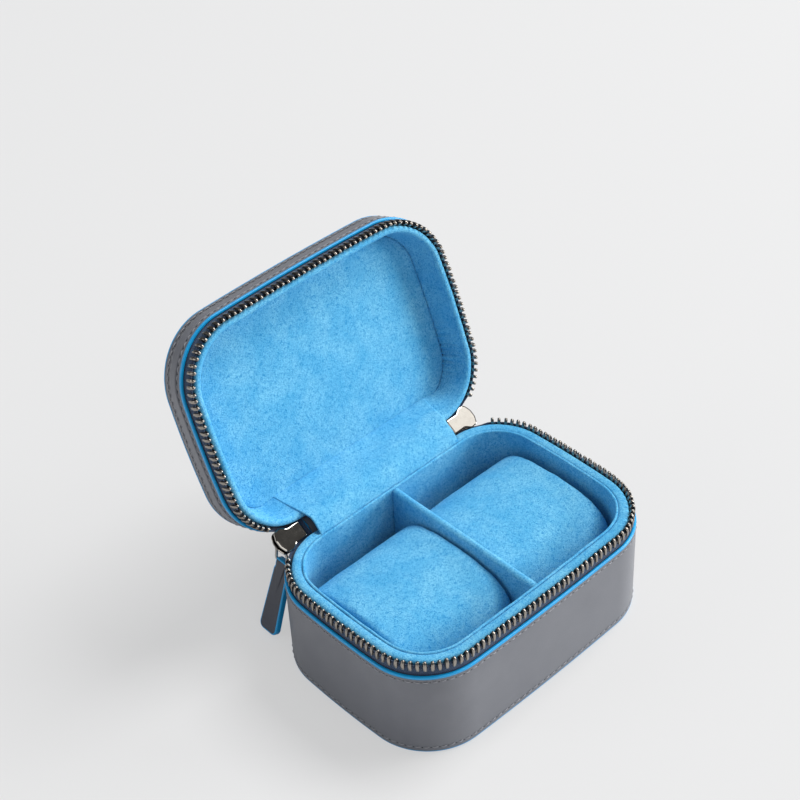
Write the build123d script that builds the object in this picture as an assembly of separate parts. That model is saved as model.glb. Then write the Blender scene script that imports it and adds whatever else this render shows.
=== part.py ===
"""Zip-round travel case for two watches, lid open, in millimetres.

The case is a stiff box and a shallow lid, both wrapped in leather and lined with suede. A metal zip
runs round the rim from one end of a soft leather hinge to the other and is worked by two sliders.
Inside, a divider parts two wells, and each well holds a loose cushion that a watch strap closes round.

Origin: centre of the underside. +X runs along the hinge, +Y points to the hinge, +Z is up.
The lid is drawn closed over the box and then opened about the hinge line.
"""
from build123d import *
import math
import os

# ---- outer size -----------------------------------------------------------------------------------
LENGTH = 150.0              # along the hinge
DEPTH = 105.0               # front to hinge
BASE_HEIGHT = 47.0          # underside to the leather rim of the box
LID_HEIGHT = 13.5           # leather rim of the lid to its top
RIM_GAP = 13.0              # between the two leather rims when the case is shut
CORNER_RADIUS = 30.5
END_BOW_RADIUS = 510.0      # the short ends bow out a little
FRONT_BOW_RADIUS = 1550.0   # and so does the front

# ---- hinge ----------------------------------------------------------------------------------------
OPEN_ANGLE = 112.0
HINGE_OUTSET = 0.5          # hinge line behind the back face
HINGE_END_INSET = 31.8      # the spine stops this far from each end of the case

# ---- walls, measured inwards from the outer face --------------------------------------------------
GLUE = 0.1                  # glue line between layers
LEATHER = 1.4
LEATHER_BEVEL = 0.35        # bevel of the cut leather edges
TAPE_INSET = 1.6
TAPE = 0.6                  # woven zip tape
BOARD = 2.0
FOAM = 3.5
SUEDE = 1.2
COLLAR_INSET = 3.4          # the suede collar stands inside the teeth
COLLAR_RISE = 5.9           # collar above the leather rim
COLLAR_GAP = 1.2            # between the two collars when shut
COLLAR_BEVEL = 1.1
ROLL_BEVEL = 0.4            # rolled edge of the suede wall
BOARD_DROP = 2.0            # the board stops this far below the leather rim
FLOOR_FOAM = 3.0

# ---- lid lining -----------------------------------------------------------------------------------
LID_LIP_INSET = 6.5         # inner edge of the lid's collar
LID_FLOOR_INSET = 9.0       # the recess narrows to this at its floor
LID_BOARD = 1.5
LID_PAD = 1.6
RAMP_RUN = 3.75             # foot of the padded ramp in front of the lid's back wall

# ---- zip ------------------------------------------------------------------------------------------
PITCH = 3.0
LID_PHASE = 0.5             # the lid's teeth lie half a pitch between the box's
TOOTH_WIDTH = 1.3           # along the chain
TOOTH_DEPTH = 2.6           # through the tape
TOOTH_TIP_DEPTH = 1.9
TOOTH_LENGTH = 4.7
TOOTH_GRIP = 2.4            # how far the tape reaches into the tooth
TOOTH_SLOT = 0.7
TOOTH_TAPER = 1.6           # length of the head's taper, to its narrowing on each side
TOOTH_OVERLAP = 1.0         # each tip passes the middle of the closed chain by this
TAPE_TAIL = 9.0             # tape sewn in below the rim
TAPE_NOTCH = 1.0            # beside the sliders the tape ends this far inside the rim
TEETH_GAP = 0.65            # from the slider's mouth to the open chain

# ---- hinge spine and flap -------------------------------------------------------------------------
SPINE_INSET = 1.5
SPINE = 1.3
SPINE_TAIL = 9.0
FLAP = 1.0
FLAP_START = 7.1            # the flap begins this far in from the back face, over the collar
FLAP_BEND_INSET = 0.4       # its bend starts this far inside the collar's outer edge
FLAP_LANDING_INSET = 0.6    # and ends this far inside the lid's
FLAP_CREST = 1.2            # the flap ends this far before the inner edge of the lid's collar
FLAP_GAP = 0.3              # flap to the lid's collar

# ---- sliders --------------------------------------------------------------------------------------
SLIDER_END_INSET = 22.0     # slider's middle from the end of the case
SLIDER_LENGTH = 14.5
SLIDER_MOUTH = 11.4
SLIDER_TAIL = 7.6
SLIDER_PLATE = 1.0
SLIDER_CHANNEL = 2.9        # between the two plates
SLIDER_FLANGE = 0.8
SLIDER_BEVEL = 0.3
SLIDER_CURVE = 2.0          # plan rounding of waist and mouth
SLIDER_TAIL_CURVE = 0.5
# half outline of a plate from tail to mouth, as parts of its half length and of its half width there
SLIDER_TAIL_SIDE = ((-1.0, 1.0), (-0.1, 0.96))
SLIDER_MOUTH_SIDE = ((0.3, 1.0), (0.8, 0.93), (1.0, 0.3))
SLIDER_RAIL = 0.55          # flanged part of its length, from the tail
SLIDER_LIP = 0.3            # height of a flange as a part of the channel
POST_SEAT = 0.42            # middle of the wedge, as a part of the half length
POST_LENGTH = 4.6           # the wedge that parts the teeth
POST_WIDTH = 2.2
SLIDER_INSET = 0.6          # slider's middle from the back face when the case is shut
SWING_INSET = 0.7           # line about which the sliders tilt as the lid opens
SWING_DROP = 3.0            # and how far it lies below the hinge line
CROWN_X = 3.0               # crown's middle, from the slider's middle towards its mouth
CROWN_BAR = 1.2
CROWN_HOLE_LENGTH = 4.2
CROWN_HOLE_HEIGHT = 3.2
CROWN_WIDTH = 1.8
END_TAPE_LENGTH = 3.6       # tape ends that leave the slider towards the spine
END_TAPE_GRIP = 1.4         # and reach into its channel

# ---- pulls ----------------------------------------------------------------------------------------
LINK_DIRECTION = (0.06, -0.04, -0.997)   # how the left link hangs; the right one mirrors it
PULL_LEAN = 25.5            # the pull leans out from its link
LINK_WIRE = 1.3
LINK_TOP_RADIUS = 2.2       # to the wire's middle
LINK_LENGTH = 12.0          # from the middle of its round top to its bar
LINK_BAR = 10.2             # straight lower bar, to the middle of its corners
LINK_BAR_RISE = 2.0         # height of its straight sides
LINK_CORNER = 0.3
PULL_LENGTH = 35.0          # from the link's bar
PULL_WIDTH = 11.4
PULL_NECK = 8.3
PULL_SHOULDER = 9.6
PULL_SLOPE = 1.4            # from neck to shoulder, along the pull
PULL_THICKNESS = 3.2
PULL_CORNER = 3.0
PULL_EYE_RADIUS = 1.15
PULL_EYE_WALL = 0.95

# ---- wells and cushions ---------------------------------------------------------------------------
DIVIDER_X = 0.5
DIVIDER_CORE = 1.8
DIVIDER_SUEDE = 0.8
DIVIDER_DROP = 1.4          # its top below the collar
CUSHION_WALL_GAP = 4.2      # cushion to the end wall of its well
CUSHION_DIVIDER_GAP = 0.9
CUSHION_FRONT_GAP = 9.3
CUSHION_BACK_GAP = 7.3
CUSHION_HEIGHT = 40.0
CUSHION_GAP = 0.3           # above the well's floor
CUSHION_FLAT = 0.6          # flattened underneath
CUSHION_NOSE = 0.85         # radius of its front and back, as a share of half the height
# size of the section at each station from the middle to the end, as parts of the half width
CUSHION_CROWN = ((0.0, 1.0), (0.92, 0.96), (1.0, 0.86))

# ---- worked out -----------------------------------------------------------------------------------
BACK = DEPTH / 2
HINGE_HALF_WIDTH = LENGTH / 2 - HINGE_END_INSET
HINGE_Y = BACK + HINGE_OUTSET
HINGE_Z = BASE_HEIGHT + RIM_GAP / 2
LID_RIM = BASE_HEIGHT + RIM_GAP
LID_TOP = LID_RIM + LID_HEIGHT
BOARD_INSET = TAPE_INSET + TAPE + GLUE
FOAM_INSET = BOARD_INSET + BOARD + GLUE
LINING_INSET = FOAM_INSET + FOAM + GLUE
WELL_INSET = LINING_INSET + SUEDE
COLLAR_TOP = BASE_HEIGHT + COLLAR_RISE
LID_COLLAR_EDGE = COLLAR_TOP + COLLAR_GAP
BOARD_TOP = BASE_HEIGHT - BOARD_DROP
LID_BOARD_EDGE = LID_RIM + BOARD_DROP
FLOOR_BOARD_Z = LEATHER + GLUE
FLOOR_FOAM_Z = FLOOR_BOARD_Z + BOARD + GLUE
FLOOR_LINING_Z = FLOOR_FOAM_Z + FLOOR_FOAM + GLUE
FLOOR_Z = FLOOR_LINING_Z + SUEDE
TOOTH_INSET = TAPE_INSET + TAPE / 2
TOOTH_FOOT = RIM_GAP / 2 + TOOTH_OVERLAP - TOOTH_LENGTH   # tooth's foot above the leather rim
SPINE_EDGE = HINGE_HALF_WIDTH + GLUE
SLIDER_X = LENGTH / 2 - SLIDER_END_INSET
SLIDER_Y = BACK - SLIDER_INSET
SLIDER_HALF = SLIDER_CHANNEL / 2 + SLIDER_PLATE
SWING_Y = BACK - SWING_INSET
SWING_Z = HINGE_Z - SWING_DROP
TEETH_END_X = SLIDER_X + SLIDER_LENGTH / 2 + TEETH_GAP
WELL_END = LENGTH / 2 - WELL_INSET
WELL_SIDE = BACK - WELL_INSET
CUSHION_DEPTH = 2 * WELL_SIDE - CUSHION_FRONT_GAP - CUSHION_BACK_GAP
CUSHION_Y = (CUSHION_FRONT_GAP - CUSHION_BACK_GAP) / 2
DIVIDER_HALF = DIVIDER_CORE / 2 + GLUE + DIVIDER_SUEDE
LID_BOARD_Z = LID_TOP - LEATHER - GLUE - LID_BOARD
LID_PANEL_Z = LID_BOARD_Z - GLUE - LID_PAD
FAR = 4 * LENGTH            # larger than the case, for cutting

HINGE = Axis((0, HINGE_Y, HINGE_Z), (1, 0, 0))
SWING = Axis((0, SWING_Y, SWING_Z), (1, 0, 0))


# ---- plan shapes ----------------------------------------------------------------------------------
def outline(inset=0.0):
    """Plan of the case drawn in by inset: bowed ends and front, a straight back, round corners."""
    end = Circle(END_BOW_RADIUS - inset)
    shape = (
        Pos(LENGTH / 2 - END_BOW_RADIUS, 0) * end
        & Pos(END_BOW_RADIUS - LENGTH / 2, 0) * end
        & Pos(0, FRONT_BOW_RADIUS - DEPTH / 2) * Circle(FRONT_BOW_RADIUS - inset)
        & Pos(0, BACK - inset) * Rectangle(FAR, FAR, align=(Align.CENTER, Align.MAX))
    )
    return fillet(shape.vertices(), CORNER_RADIUS - inset)


def plate(inset, bottom, top):
    """A flat sheet with the case's plan shape."""
    return Pos(0, 0, bottom) * extrude(outline(inset), top - bottom)


def ring(outer, inner, bottom, top):
    """An upright wall between two insets."""
    return Pos(0, 0, bottom) * extrude(outline(outer) - outline(inner), top - bottom)


def block(x, y, z):
    """A box between pairs of limits."""
    size = (x[1] - x[0], y[1] - y[0], z[1] - z[0])
    return Pos((x[0] + x[1]) / 2, (y[0] + y[1]) / 2, (z[0] + z[1]) / 2) * Box(*size)


def edges_at(part, height):
    """The part's edges that lie level at one height."""
    return part.edges().filter_by(lambda e: abs(e.bounding_box().min.Z - height) < 1e-4
                                  and abs(e.bounding_box().max.Z - height) < 1e-4)


def open_lid(part):
    """Turn a piece drawn on the shut lid to where it lies with the lid open."""
    return part.rotate(HINGE, -OPEN_ANGLE)


def tilt_slider(part):
    """Turn a piece drawn on a shut slider to where it lies with the lid open."""
    return part.rotate(SWING, -OPEN_ANGLE / 2)


# ---- box ------------------------------------------------------------------------------------------
def base_leather_wall():
    """The leather band round the box, its cut edges bevelled."""
    wall = ring(0, LEATHER, 0, BASE_HEIGHT)
    return chamfer(edges_at(wall, BASE_HEIGHT), LEATHER_BEVEL)


def spine_rebate(inset, bottom, top):
    """Space behind a board for the tail of the hinge spine."""
    return block((-SPINE_EDGE, SPINE_EDGE), (BACK - inset, BACK), (bottom, top))


def base_wall_board():
    """Stiff board inside the leather, cut back where the hinge spine is glued in."""
    wall = ring(BOARD_INSET, BOARD_INSET + BOARD, FLOOR_FOAM_Z, BOARD_TOP)
    return wall - spine_rebate(SPINE_INSET + SPINE + GLUE, BASE_HEIGHT - SPINE_TAIL - GLUE, FAR)


def base_collar():
    """Padded suede collar inside the teeth, lowered at the back where the hinge flap lies on it."""
    collar = ring(COLLAR_INSET, LINING_INSET - GLUE, BOARD_TOP + GLUE, COLLAR_TOP)
    collar = chamfer(edges_at(collar, COLLAR_TOP), COLLAR_BEVEL)
    seat = block((-SPINE_EDGE, SPINE_EDGE), (BACK - FLAP_START - GLUE, BACK),
                 (COLLAR_TOP - FLAP - GLUE, FAR))
    return collar - seat


def base_lining_wall():
    """Suede wall of the wells with a rolled top edge."""
    wall = ring(LINING_INSET, WELL_INSET, FLOOR_LINING_Z, COLLAR_TOP)
    return chamfer(edges_at(wall, COLLAR_TOP), ROLL_BEVEL)


def divider_slab(thickness, top):
    """An upright slab from the front lining to the back lining."""
    reach = WELL_SIDE - GLUE
    half = thickness / 2
    return block((DIVIDER_X - half, DIVIDER_X + half), (-reach, reach), (FLOOR_Z + GLUE, top))


def divider_cover():
    """Suede folded over the divider's board."""
    top = COLLAR_TOP - DIVIDER_DROP
    slab = divider_slab(DIVIDER_CORE + 2 * (DIVIDER_SUEDE + GLUE), top)
    ridge = edges_at(slab, top).filter_by(Axis.Y)
    slab = fillet(ridge, (DIVIDER_CORE + DIVIDER_SUEDE) / 2)
    return slab - divider_slab(DIVIDER_CORE + 2 * GLUE, top - DIVIDER_SUEDE)


# ---- cushion --------------------------------------------------------------------------------------
def cushion_section(share):
    """A four-arc oval, tangent all round, scaled by share about the cushion's middle."""
    long, short = CUSHION_DEPTH / 2 * share, CUSHION_HEIGHT / 2 * share
    nose = short * CUSHION_NOSE
    crown = ((long - nose) ** 2 + short ** 2 - nose ** 2) / (2 * (short - nose))
    turn = math.atan2(long - nose, crown - short)
    y, z = crown * math.sin(turn), short - crown + crown * math.cos(turn)
    return make_face([
        ThreePointArc((-y, z), (0, short), (y, z)),
        ThreePointArc((y, z), (long, 0), (y, -z)),
        ThreePointArc((y, -z), (0, -short), (-y, -z)),
        ThreePointArc((-y, -z), (-long, 0), (-y, z)),
    ])


def cushion(start, end):
    """A crowned roll between two X limits, drawn in towards its ends and flat where it rests."""
    middle_z = FLOOR_Z + CUSHION_GAP - CUSHION_FLAT + CUSHION_HEIGHT / 2
    stations = [(-at, share) for at, share in reversed(CUSHION_CROWN[1:])] + list(CUSHION_CROWN)
    sections = []
    for at, share in stations:
        origin = ((start + end) / 2 + at * (end - start) / 2, CUSHION_Y, middle_z)
        across = Plane(origin=origin, x_dir=(0, 1, 0), z_dir=(1, 0, 0))
        sections.append(across * cushion_section(share))
    roll = loft(sections, ruled=True)
    return roll - block((-FAR, FAR), (-FAR, FAR), (-FAR, FLOOR_Z + CUSHION_GAP))


# ---- lid ------------------------------------------------------------------------------------------
def lid_leather_wall():
    """The leather band round the lid, its cut rim bevelled."""
    wall = ring(0, LEATHER, LID_RIM, LID_TOP)
    return chamfer(edges_at(wall, LID_RIM), LEATHER_BEVEL)


def lid_recess():
    """The hollow inside the lid's lining, narrowing towards its floor."""
    mouth = Pos(0, 0, LID_COLLAR_EDGE) * outline(LID_LIP_INSET)
    floor = Pos(0, 0, LID_BOARD_Z - GLUE) * outline(LID_FLOOR_INSET)
    return loft([mouth, floor], ruled=True)


def lid_collar():
    """Padded suede collar of the lid, facing the one on the box."""
    collar = plate(COLLAR_INSET, LID_COLLAR_EDGE, LID_BOARD_EDGE - GLUE) - lid_recess()
    return chamfer(edges_at(collar, LID_COLLAR_EDGE), COLLAR_BEVEL)


def lid_lining_wall():
    """Padded suede wall of the lid's recess, from the collar to the lid's board."""
    return plate(FOAM_INSET, LID_BOARD_EDGE, LID_BOARD_Z - GLUE) - lid_recess()


def lid_wall_board():
    """Stiff board inside the lid's leather, cut back for the spine's tail."""
    wall = ring(BOARD_INSET, BOARD_INSET + BOARD, LID_BOARD_EDGE, LID_BOARD_Z - GLUE)
    return wall - spine_rebate(SPINE_INSET + SPINE + GLUE, 0, LID_RIM + SPINE_TAIL + GLUE)


def lid_hinge_ramp():
    """Padded suede ramp that carries the hinge flap from the collar down to the lid's panel."""
    floor = LID_PANEL_Z - GLUE
    mouth = LID_COLLAR_EDGE + FLAP
    slope = (LID_FLOOR_INSET - LID_LIP_INSET) / (LID_BOARD_Z - GLUE - LID_COLLAR_EDGE)
    back_high = BACK - LID_LIP_INSET - slope * (mouth - LID_COLLAR_EDGE) - GLUE
    back_low = BACK - LID_LIP_INSET - slope * (floor - LID_COLLAR_EDGE) - GLUE
    points = [(back_high, mouth), (back_low, floor), (back_low - RAMP_RUN, floor)]
    return yz_prism(points, HINGE_HALF_WIDTH)


# ---- hinge ----------------------------------------------------------------------------------------
def yz_prism(points, half_width):
    """A polygon in the plane across the hinge, extruded to both sides."""
    face = Plane.YZ * make_face(Polyline(*points, close=True))
    return extrude(face, half_width, both=True)


def turned(y, z, middle, degrees):
    """A point of the YZ plane turned about the X-parallel line through middle."""
    turn = math.radians(degrees)
    dy, dz = y - middle[0], z - middle[1]
    return (middle[0] + dy * math.cos(turn) - dz * math.sin(turn),
            middle[1] + dy * math.sin(turn) + dz * math.cos(turn))


def opened(y, z):
    """Where a point of the shut lid lies, in Y and Z, with the lid open."""
    return turned(y, z, (HINGE_Y, HINGE_Z), -OPEN_ANGLE)


def hinge_spine():
    """Leather strip glued into both walls; between them it bends in one arc, drawn open."""
    middle = BACK - SPINE_INSET - SPINE / 2
    base_end, base_rim = (middle, BASE_HEIGHT - SPINE_TAIL), (middle, BASE_HEIGHT)
    lid_rim, lid_end = opened(middle, LID_RIM), opened(middle, LID_RIM + SPINE_TAIL)
    rise = (lid_rim[1] - BASE_HEIGHT) / math.sin(math.radians(OPEN_ANGLE))
    half_turn = math.radians(OPEN_ANGLE / 2)
    crest = (middle + rise * (1 - math.cos(half_turn)), BASE_HEIGHT + rise * math.sin(half_turn))
    path = (Line(base_end, base_rim) + ThreePointArc(base_rim, crest, lid_rim)
            + Line(lid_rim, lid_end))
    strip = Plane.YZ * trace(path, SPINE)
    return extrude(strip, HINGE_HALF_WIDTH, both=True)


def hinge_flap():
    """Suede flap from the box's collar over the hinge to the lid's collar, drawn open."""
    level = COLLAR_TOP - FLAP / 2
    start = (BACK - FLAP_START + FLAP / 2, level)
    edge = (BACK - COLLAR_INSET - FLAP_BEND_INSET, level)
    shut_level = LID_COLLAR_EDGE - FLAP / 2 - FLAP_GAP
    crest = opened(BACK - LID_LIP_INSET + FLAP_CREST, shut_level)
    landing = opened(BACK - COLLAR_INSET - FLAP_LANDING_INSET, shut_level)
    bend = TangentArc(edge, landing, tangent=(1, 0))
    path = Line(start, edge) + bend + Line(landing, crest)
    strip = Plane.YZ * trace(path, FLAP)
    return extrude(strip, HINGE_HALF_WIDTH, both=True)


# ---- zip ------------------------------------------------------------------------------------------
def zip_tape(bottom, top, rim_side):
    """Woven tape in the wall, left out at the hinge and cut away beside the sliders."""
    tape = ring(TAPE_INSET, TAPE_INSET + TAPE, bottom, top)
    hinge = block((-SPINE_EDGE, SPINE_EDGE), (0, FAR), (0, FAR))
    beside = block((-TEETH_END_X, TEETH_END_X), (0, FAR), rim_side)
    return tape - hinge - beside


def tooth():
    """One tooth on the tape's edge: two legs grip the tape and join in a narrower head."""
    leg, slot, tip = TOOTH_DEPTH / 2, TOOTH_SLOT / 2, TOOTH_TIP_DEPTH / 2
    shoulder = TOOTH_LENGTH - (leg - tip) * TOOTH_TAPER
    half = [(slot, TOOTH_GRIP), (slot, 0), (leg, 0), (leg, shoulder), (tip, TOOTH_LENGTH)]
    points = half + [(-y, z) for y, z in reversed(half)]
    face = Plane.YZ * make_face(Polyline(*points, close=True))
    return extrude(face, TOOTH_WIDTH / 2, both=True)


def chain(foot, turned, phase):
    """Teeth at an even pitch both ways from the middle of the front, stopping short of the sliders."""
    path = outline(TOOTH_INSET).wire()
    front = path.param_at_point((0, -BACK + TOOTH_INSET))
    pattern = tooth()
    if turned:
        pattern = pattern.rotate(Axis.X, 180)
    teeth = []
    for step in range(int(path.length / PITCH / 2)):
        for side in (1, -1):
            distance = (step + phase) * PITCH
            if side < 0 and distance == 0:
                continue
            share = (front + side * distance / path.length) % 1
            spot, along = path.position_at(share), path.tangent_at(share)
            if spot.Y > 0 and abs(spot.X) < TEETH_END_X + TOOTH_WIDTH / 2:
                continue
            seat = Plane(origin=(spot.X, spot.Y, foot), x_dir=along, z_dir=(0, 0, 1))
            teeth.append(seat * pattern)
    return Compound(children=teeth)


# ---- slider ---------------------------------------------------------------------------------------
def slider_plan(shrink=0.0):
    """Plan of a slider plate along local X, mouth at +X: straight tail, waist and broad round mouth."""
    half = SLIDER_LENGTH / 2 - shrink
    tail, mouth = SLIDER_TAIL / 2 - shrink, SLIDER_MOUTH / 2 - shrink
    side = [(x * half, y * tail) for x, y in SLIDER_TAIL_SIDE]
    side += [(x * half, y * mouth) for x, y in SLIDER_MOUTH_SIDE]
    face = make_face(Polyline(*side, *[(x, -y) for x, y in reversed(side)], close=True))
    ends = face.vertices().sort_by(Axis.X)
    face = fillet(ends[2:], SLIDER_CURVE - shrink)
    return fillet(face.vertices().sort_by(Axis.X)[:2], SLIDER_TAIL_CURVE)


def slider_body():
    """Two plates joined by a wedge at the mouth, with flanges that keep the teeth in their channels."""
    plan = slider_plan()
    sheet = extrude(plan, SLIDER_PLATE)
    inner = Pos(0, 0, SLIDER_CHANNEL / 2) * chamfer(edges_at(sheet, SLIDER_PLATE), SLIDER_BEVEL)
    outer = Pos(0, 0, -SLIDER_HALF) * sheet
    half = SLIDER_LENGTH / 2
    rail = SLIDER_LENGTH * SLIDER_RAIL
    rails = (plan - slider_plan(SLIDER_FLANGE)) & Pos(rail / 2 - half, 0) * Rectangle(rail, FAR)
    lip = SLIDER_CHANNEL * SLIDER_LIP
    lips = (extrude(rails, lip), extrude(rails, -lip))
    post = Pos(half * POST_SEAT, 0) * extrude(Ellipse(POST_LENGTH / 2, POST_WIDTH / 2),
                                         SLIDER_CHANNEL / 2, both=True)
    body = inner + outer + post
    for rail_lip, lift in zip(lips, (-SLIDER_CHANNEL / 2, SLIDER_CHANNEL / 2)):
        body += Pos(0, 0, lift) * rail_lip
    return body


def slider_crown():
    """The arch on the slider's outer plate that the pull's link passes through."""
    length = CROWN_HOLE_LENGTH + 2 * CROWN_BAR
    height = CROWN_HOLE_HEIGHT + CROWN_BAR
    arch = Plane.XZ * (Pos(0, -height / 2) * Rectangle(length, height)
                       - Pos(0, -CROWN_HOLE_HEIGHT / 2) * Rectangle(CROWN_HOLE_LENGTH,
                                                                    CROWN_HOLE_HEIGHT))
    crown = extrude(arch, CROWN_WIDTH / 2, both=True)
    crown = fillet(edges_at(crown, -height).filter_by(Axis.Y), CROWN_BAR)
    return Pos(CROWN_X, 0, -SLIDER_HALF) * crown


def end_tape():
    """Tape ends that leave the slider's tail towards the hinge spine."""
    start = -SLIDER_LENGTH / 2 - END_TAPE_LENGTH + END_TAPE_GRIP
    return block((start, start + END_TAPE_LENGTH), (-SLIDER_TAIL / 2 + SLIDER_FLANGE + GLUE,
                 SLIDER_TAIL / 2 - SLIDER_FLANGE - GLUE), (-TAPE / 2, TAPE / 2))


def seat_slider(part, side):
    """Place a slider piece: mouth outwards, inner plate facing into the case, lid open."""
    shut = Plane(origin=(side * SLIDER_X, SLIDER_Y, HINGE_Z), x_dir=(side, 0, 0), z_dir=(0, -1, 0))
    return tilt_slider(shut * part)


# ---- pull -----------------------------------------------------------------------------------------
def pull_frame():
    """The left pull's plane: origin at the round top of its link, X across, -Y hanging down."""
    eye_y, eye_z = turned(SLIDER_Y + SLIDER_HALF + CROWN_HOLE_HEIGHT / 2, HINGE_Z,
                          (SWING_Y, SWING_Z), -OPEN_ANGLE / 2)
    tilt = math.radians(OPEN_ANGLE / 2)
    across = Vector(0, math.sin(tilt), math.cos(tilt))
    hang = Vector(*LINK_DIRECTION).normalized()
    drop = (hang - across * hang.dot(across)).normalized()
    top = Vector(-SLIDER_X - CROWN_X, eye_y, eye_z) + drop * LINK_TOP_RADIUS
    face = across.cross(drop).normalized()
    return Plane(origin=top, x_dir=face.cross(hang).normalized(), z_dir=face)


def link_window(reach):
    """Outline of the link, reach outside the wire's middle: a round top that widens to a straight bar."""
    bar = Pos(0, LINK_BAR_RISE / 2 - LINK_LENGTH - reach) * Rectangle(LINK_BAR + 2 * reach, LINK_BAR_RISE)
    shape = make_hull((Circle(LINK_TOP_RADIUS + reach) + bar).edges())
    return fillet(shape.vertices().sort_by(Axis.Y)[:2], LINK_CORNER + max(reach, 0))


def pull_link():
    """Flat metal link between the crown and the pull."""
    half = LINK_WIRE / 2
    return extrude(link_window(half) - link_window(-half), half, both=True)


def pull_tab():
    """Leather pull folded round the link's bar, with a neck between the link's sides."""
    eye = PULL_EYE_RADIUS + PULL_EYE_WALL
    fold = Pos(-PULL_LENGTH / 2, 0) * Rectangle(PULL_LENGTH, PULL_THICKNESS) + Circle(eye)
    strap = extrude(Plane.YZ * (fold - Circle(PULL_EYE_RADIUS)), PULL_WIDTH, both=True)
    side = [(PULL_NECK / 2, eye), (PULL_NECK / 2, -eye), (PULL_SHOULDER / 2, -eye - PULL_SLOPE),
            (PULL_WIDTH / 2, -PULL_LENGTH)]
    front = make_face(Polyline(*side, *[(-x, y) for x, y in reversed(side)], close=True))
    corners = front.vertices().sort_by(Axis.Y)
    front = fillet(corners[:2], PULL_CORNER)
    return Pos(0, -LINK_LENGTH, 0) * Rot(X=-PULL_LEAN) * (strap & extrude(front, eye, both=True))


# ---- all pieces -----------------------------------------------------------------------------------
def base_pieces():
    """The box, its lining and the base half of the zip."""
    tape_top = BASE_HEIGHT + TOOTH_FOOT + TOOTH_GRIP - GLUE
    core_top = COLLAR_TOP - DIVIDER_DROP - DIVIDER_SUEDE - GLUE
    return {
        "base_leather_wall": base_leather_wall(),
        "base_bottom_panel": plate(LEATHER + GLUE, 0, LEATHER),
        "base_floor_board": plate(LEATHER + GLUE, FLOOR_BOARD_Z, FLOOR_BOARD_Z + BOARD),
        "base_wall_board": base_wall_board(),
        "base_wall_foam": ring(FOAM_INSET, FOAM_INSET + FOAM, FLOOR_FOAM_Z, BOARD_TOP),
        "base_floor_foam": plate(LINING_INSET, FLOOR_FOAM_Z, FLOOR_FOAM_Z + FLOOR_FOAM),
        "base_floor_lining": plate(WELL_INSET + GLUE, FLOOR_LINING_Z, FLOOR_Z),
        "base_lining_wall": base_lining_wall(),
        "base_collar": base_collar(),
        "divider_board": divider_slab(DIVIDER_CORE, core_top),
        "divider_cover": divider_cover(),
        "base_zip_tape": zip_tape(BASE_HEIGHT - TAPE_TAIL, tape_top, (BASE_HEIGHT - TAPE_NOTCH, FAR)),
        "base_zip_teeth": chain(BASE_HEIGHT + TOOTH_FOOT, False, 0.0),
        "hinge_spine": hinge_spine(),
        "hinge_flap": hinge_flap(),
    }


def lid_pieces():
    """The lid, its lining and the lid's half of the zip, opened about the hinge."""
    tape_edge = LID_RIM - TOOTH_FOOT - TOOTH_GRIP + GLUE
    shut = {
        "lid_leather_wall": lid_leather_wall(),
        "lid_top_panel": plate(LEATHER + GLUE, LID_TOP - LEATHER, LID_TOP),
        "lid_top_board": plate(LEATHER + GLUE, LID_BOARD_Z, LID_BOARD_Z + LID_BOARD),
        "lid_wall_board": lid_wall_board(),
        "lid_lining_wall": lid_lining_wall(),
        "lid_collar": lid_collar(),
        "lid_lining_panel": plate(LID_FLOOR_INSET + GLUE, LID_PANEL_Z, LID_PANEL_Z + LID_PAD),
        "lid_hinge_ramp": lid_hinge_ramp(),
        "lid_zip_tape": zip_tape(tape_edge, LID_RIM + TAPE_TAIL, (0, LID_RIM + TAPE_NOTCH)),
        "lid_zip_teeth": chain(LID_RIM - TOOTH_FOOT, True, LID_PHASE),
    }
    return {name: open_lid(part) for name, part in shut.items()}


def zip_pieces():
    """Both sliders and their pulls; the right ones mirror the left."""
    left = {
        "slider_left_body": seat_slider(slider_body(), -1),
        "slider_left_crown": seat_slider(slider_crown(), -1),
        "zip_end_tape_left": seat_slider(end_tape(), -1),
        "pull_left_link": pull_frame() * pull_link(),
        "pull_left_tab": pull_frame() * pull_tab(),
    }
    right = {name.replace("left", "right"): mirror(part, Plane.YZ) for name, part in left.items()}
    return {**left, **right}


def cushion_pieces():
    """The two loose cushions, each in its well."""
    end = WELL_END - CUSHION_WALL_GAP
    side = DIVIDER_HALF + CUSHION_DIVIDER_GAP
    return {"cushion_left": cushion(-end, DIVIDER_X - side), "cushion_right": cushion(DIVIDER_X + side, end)}


def main():
    """Write each piece to parts/."""
    os.makedirs("parts", exist_ok=True)
    for pieces in (base_pieces(), lid_pieces(), zip_pieces(), cushion_pieces()):
        for name, part in pieces.items():
            export_step(part, f"parts/{name}.step")


main()
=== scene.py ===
"""Looks of a zip-round travel case for two watches, shown open on a pale studio floor.

Grey box calf outside, bright blue suede inside, blue painted leather edges, a gunmetal chain on navy
tape. All sizes are millimetres in the model's own frame: X along the hinge, +Y towards it, +Z up.
Meshes are scaled to metres as they are made.
"""
import logging
from dataclasses import dataclass
from enum import Enum
from typing import Callable, Sequence

import bpy
import numpy as np
from mathutils import Matrix


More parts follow.
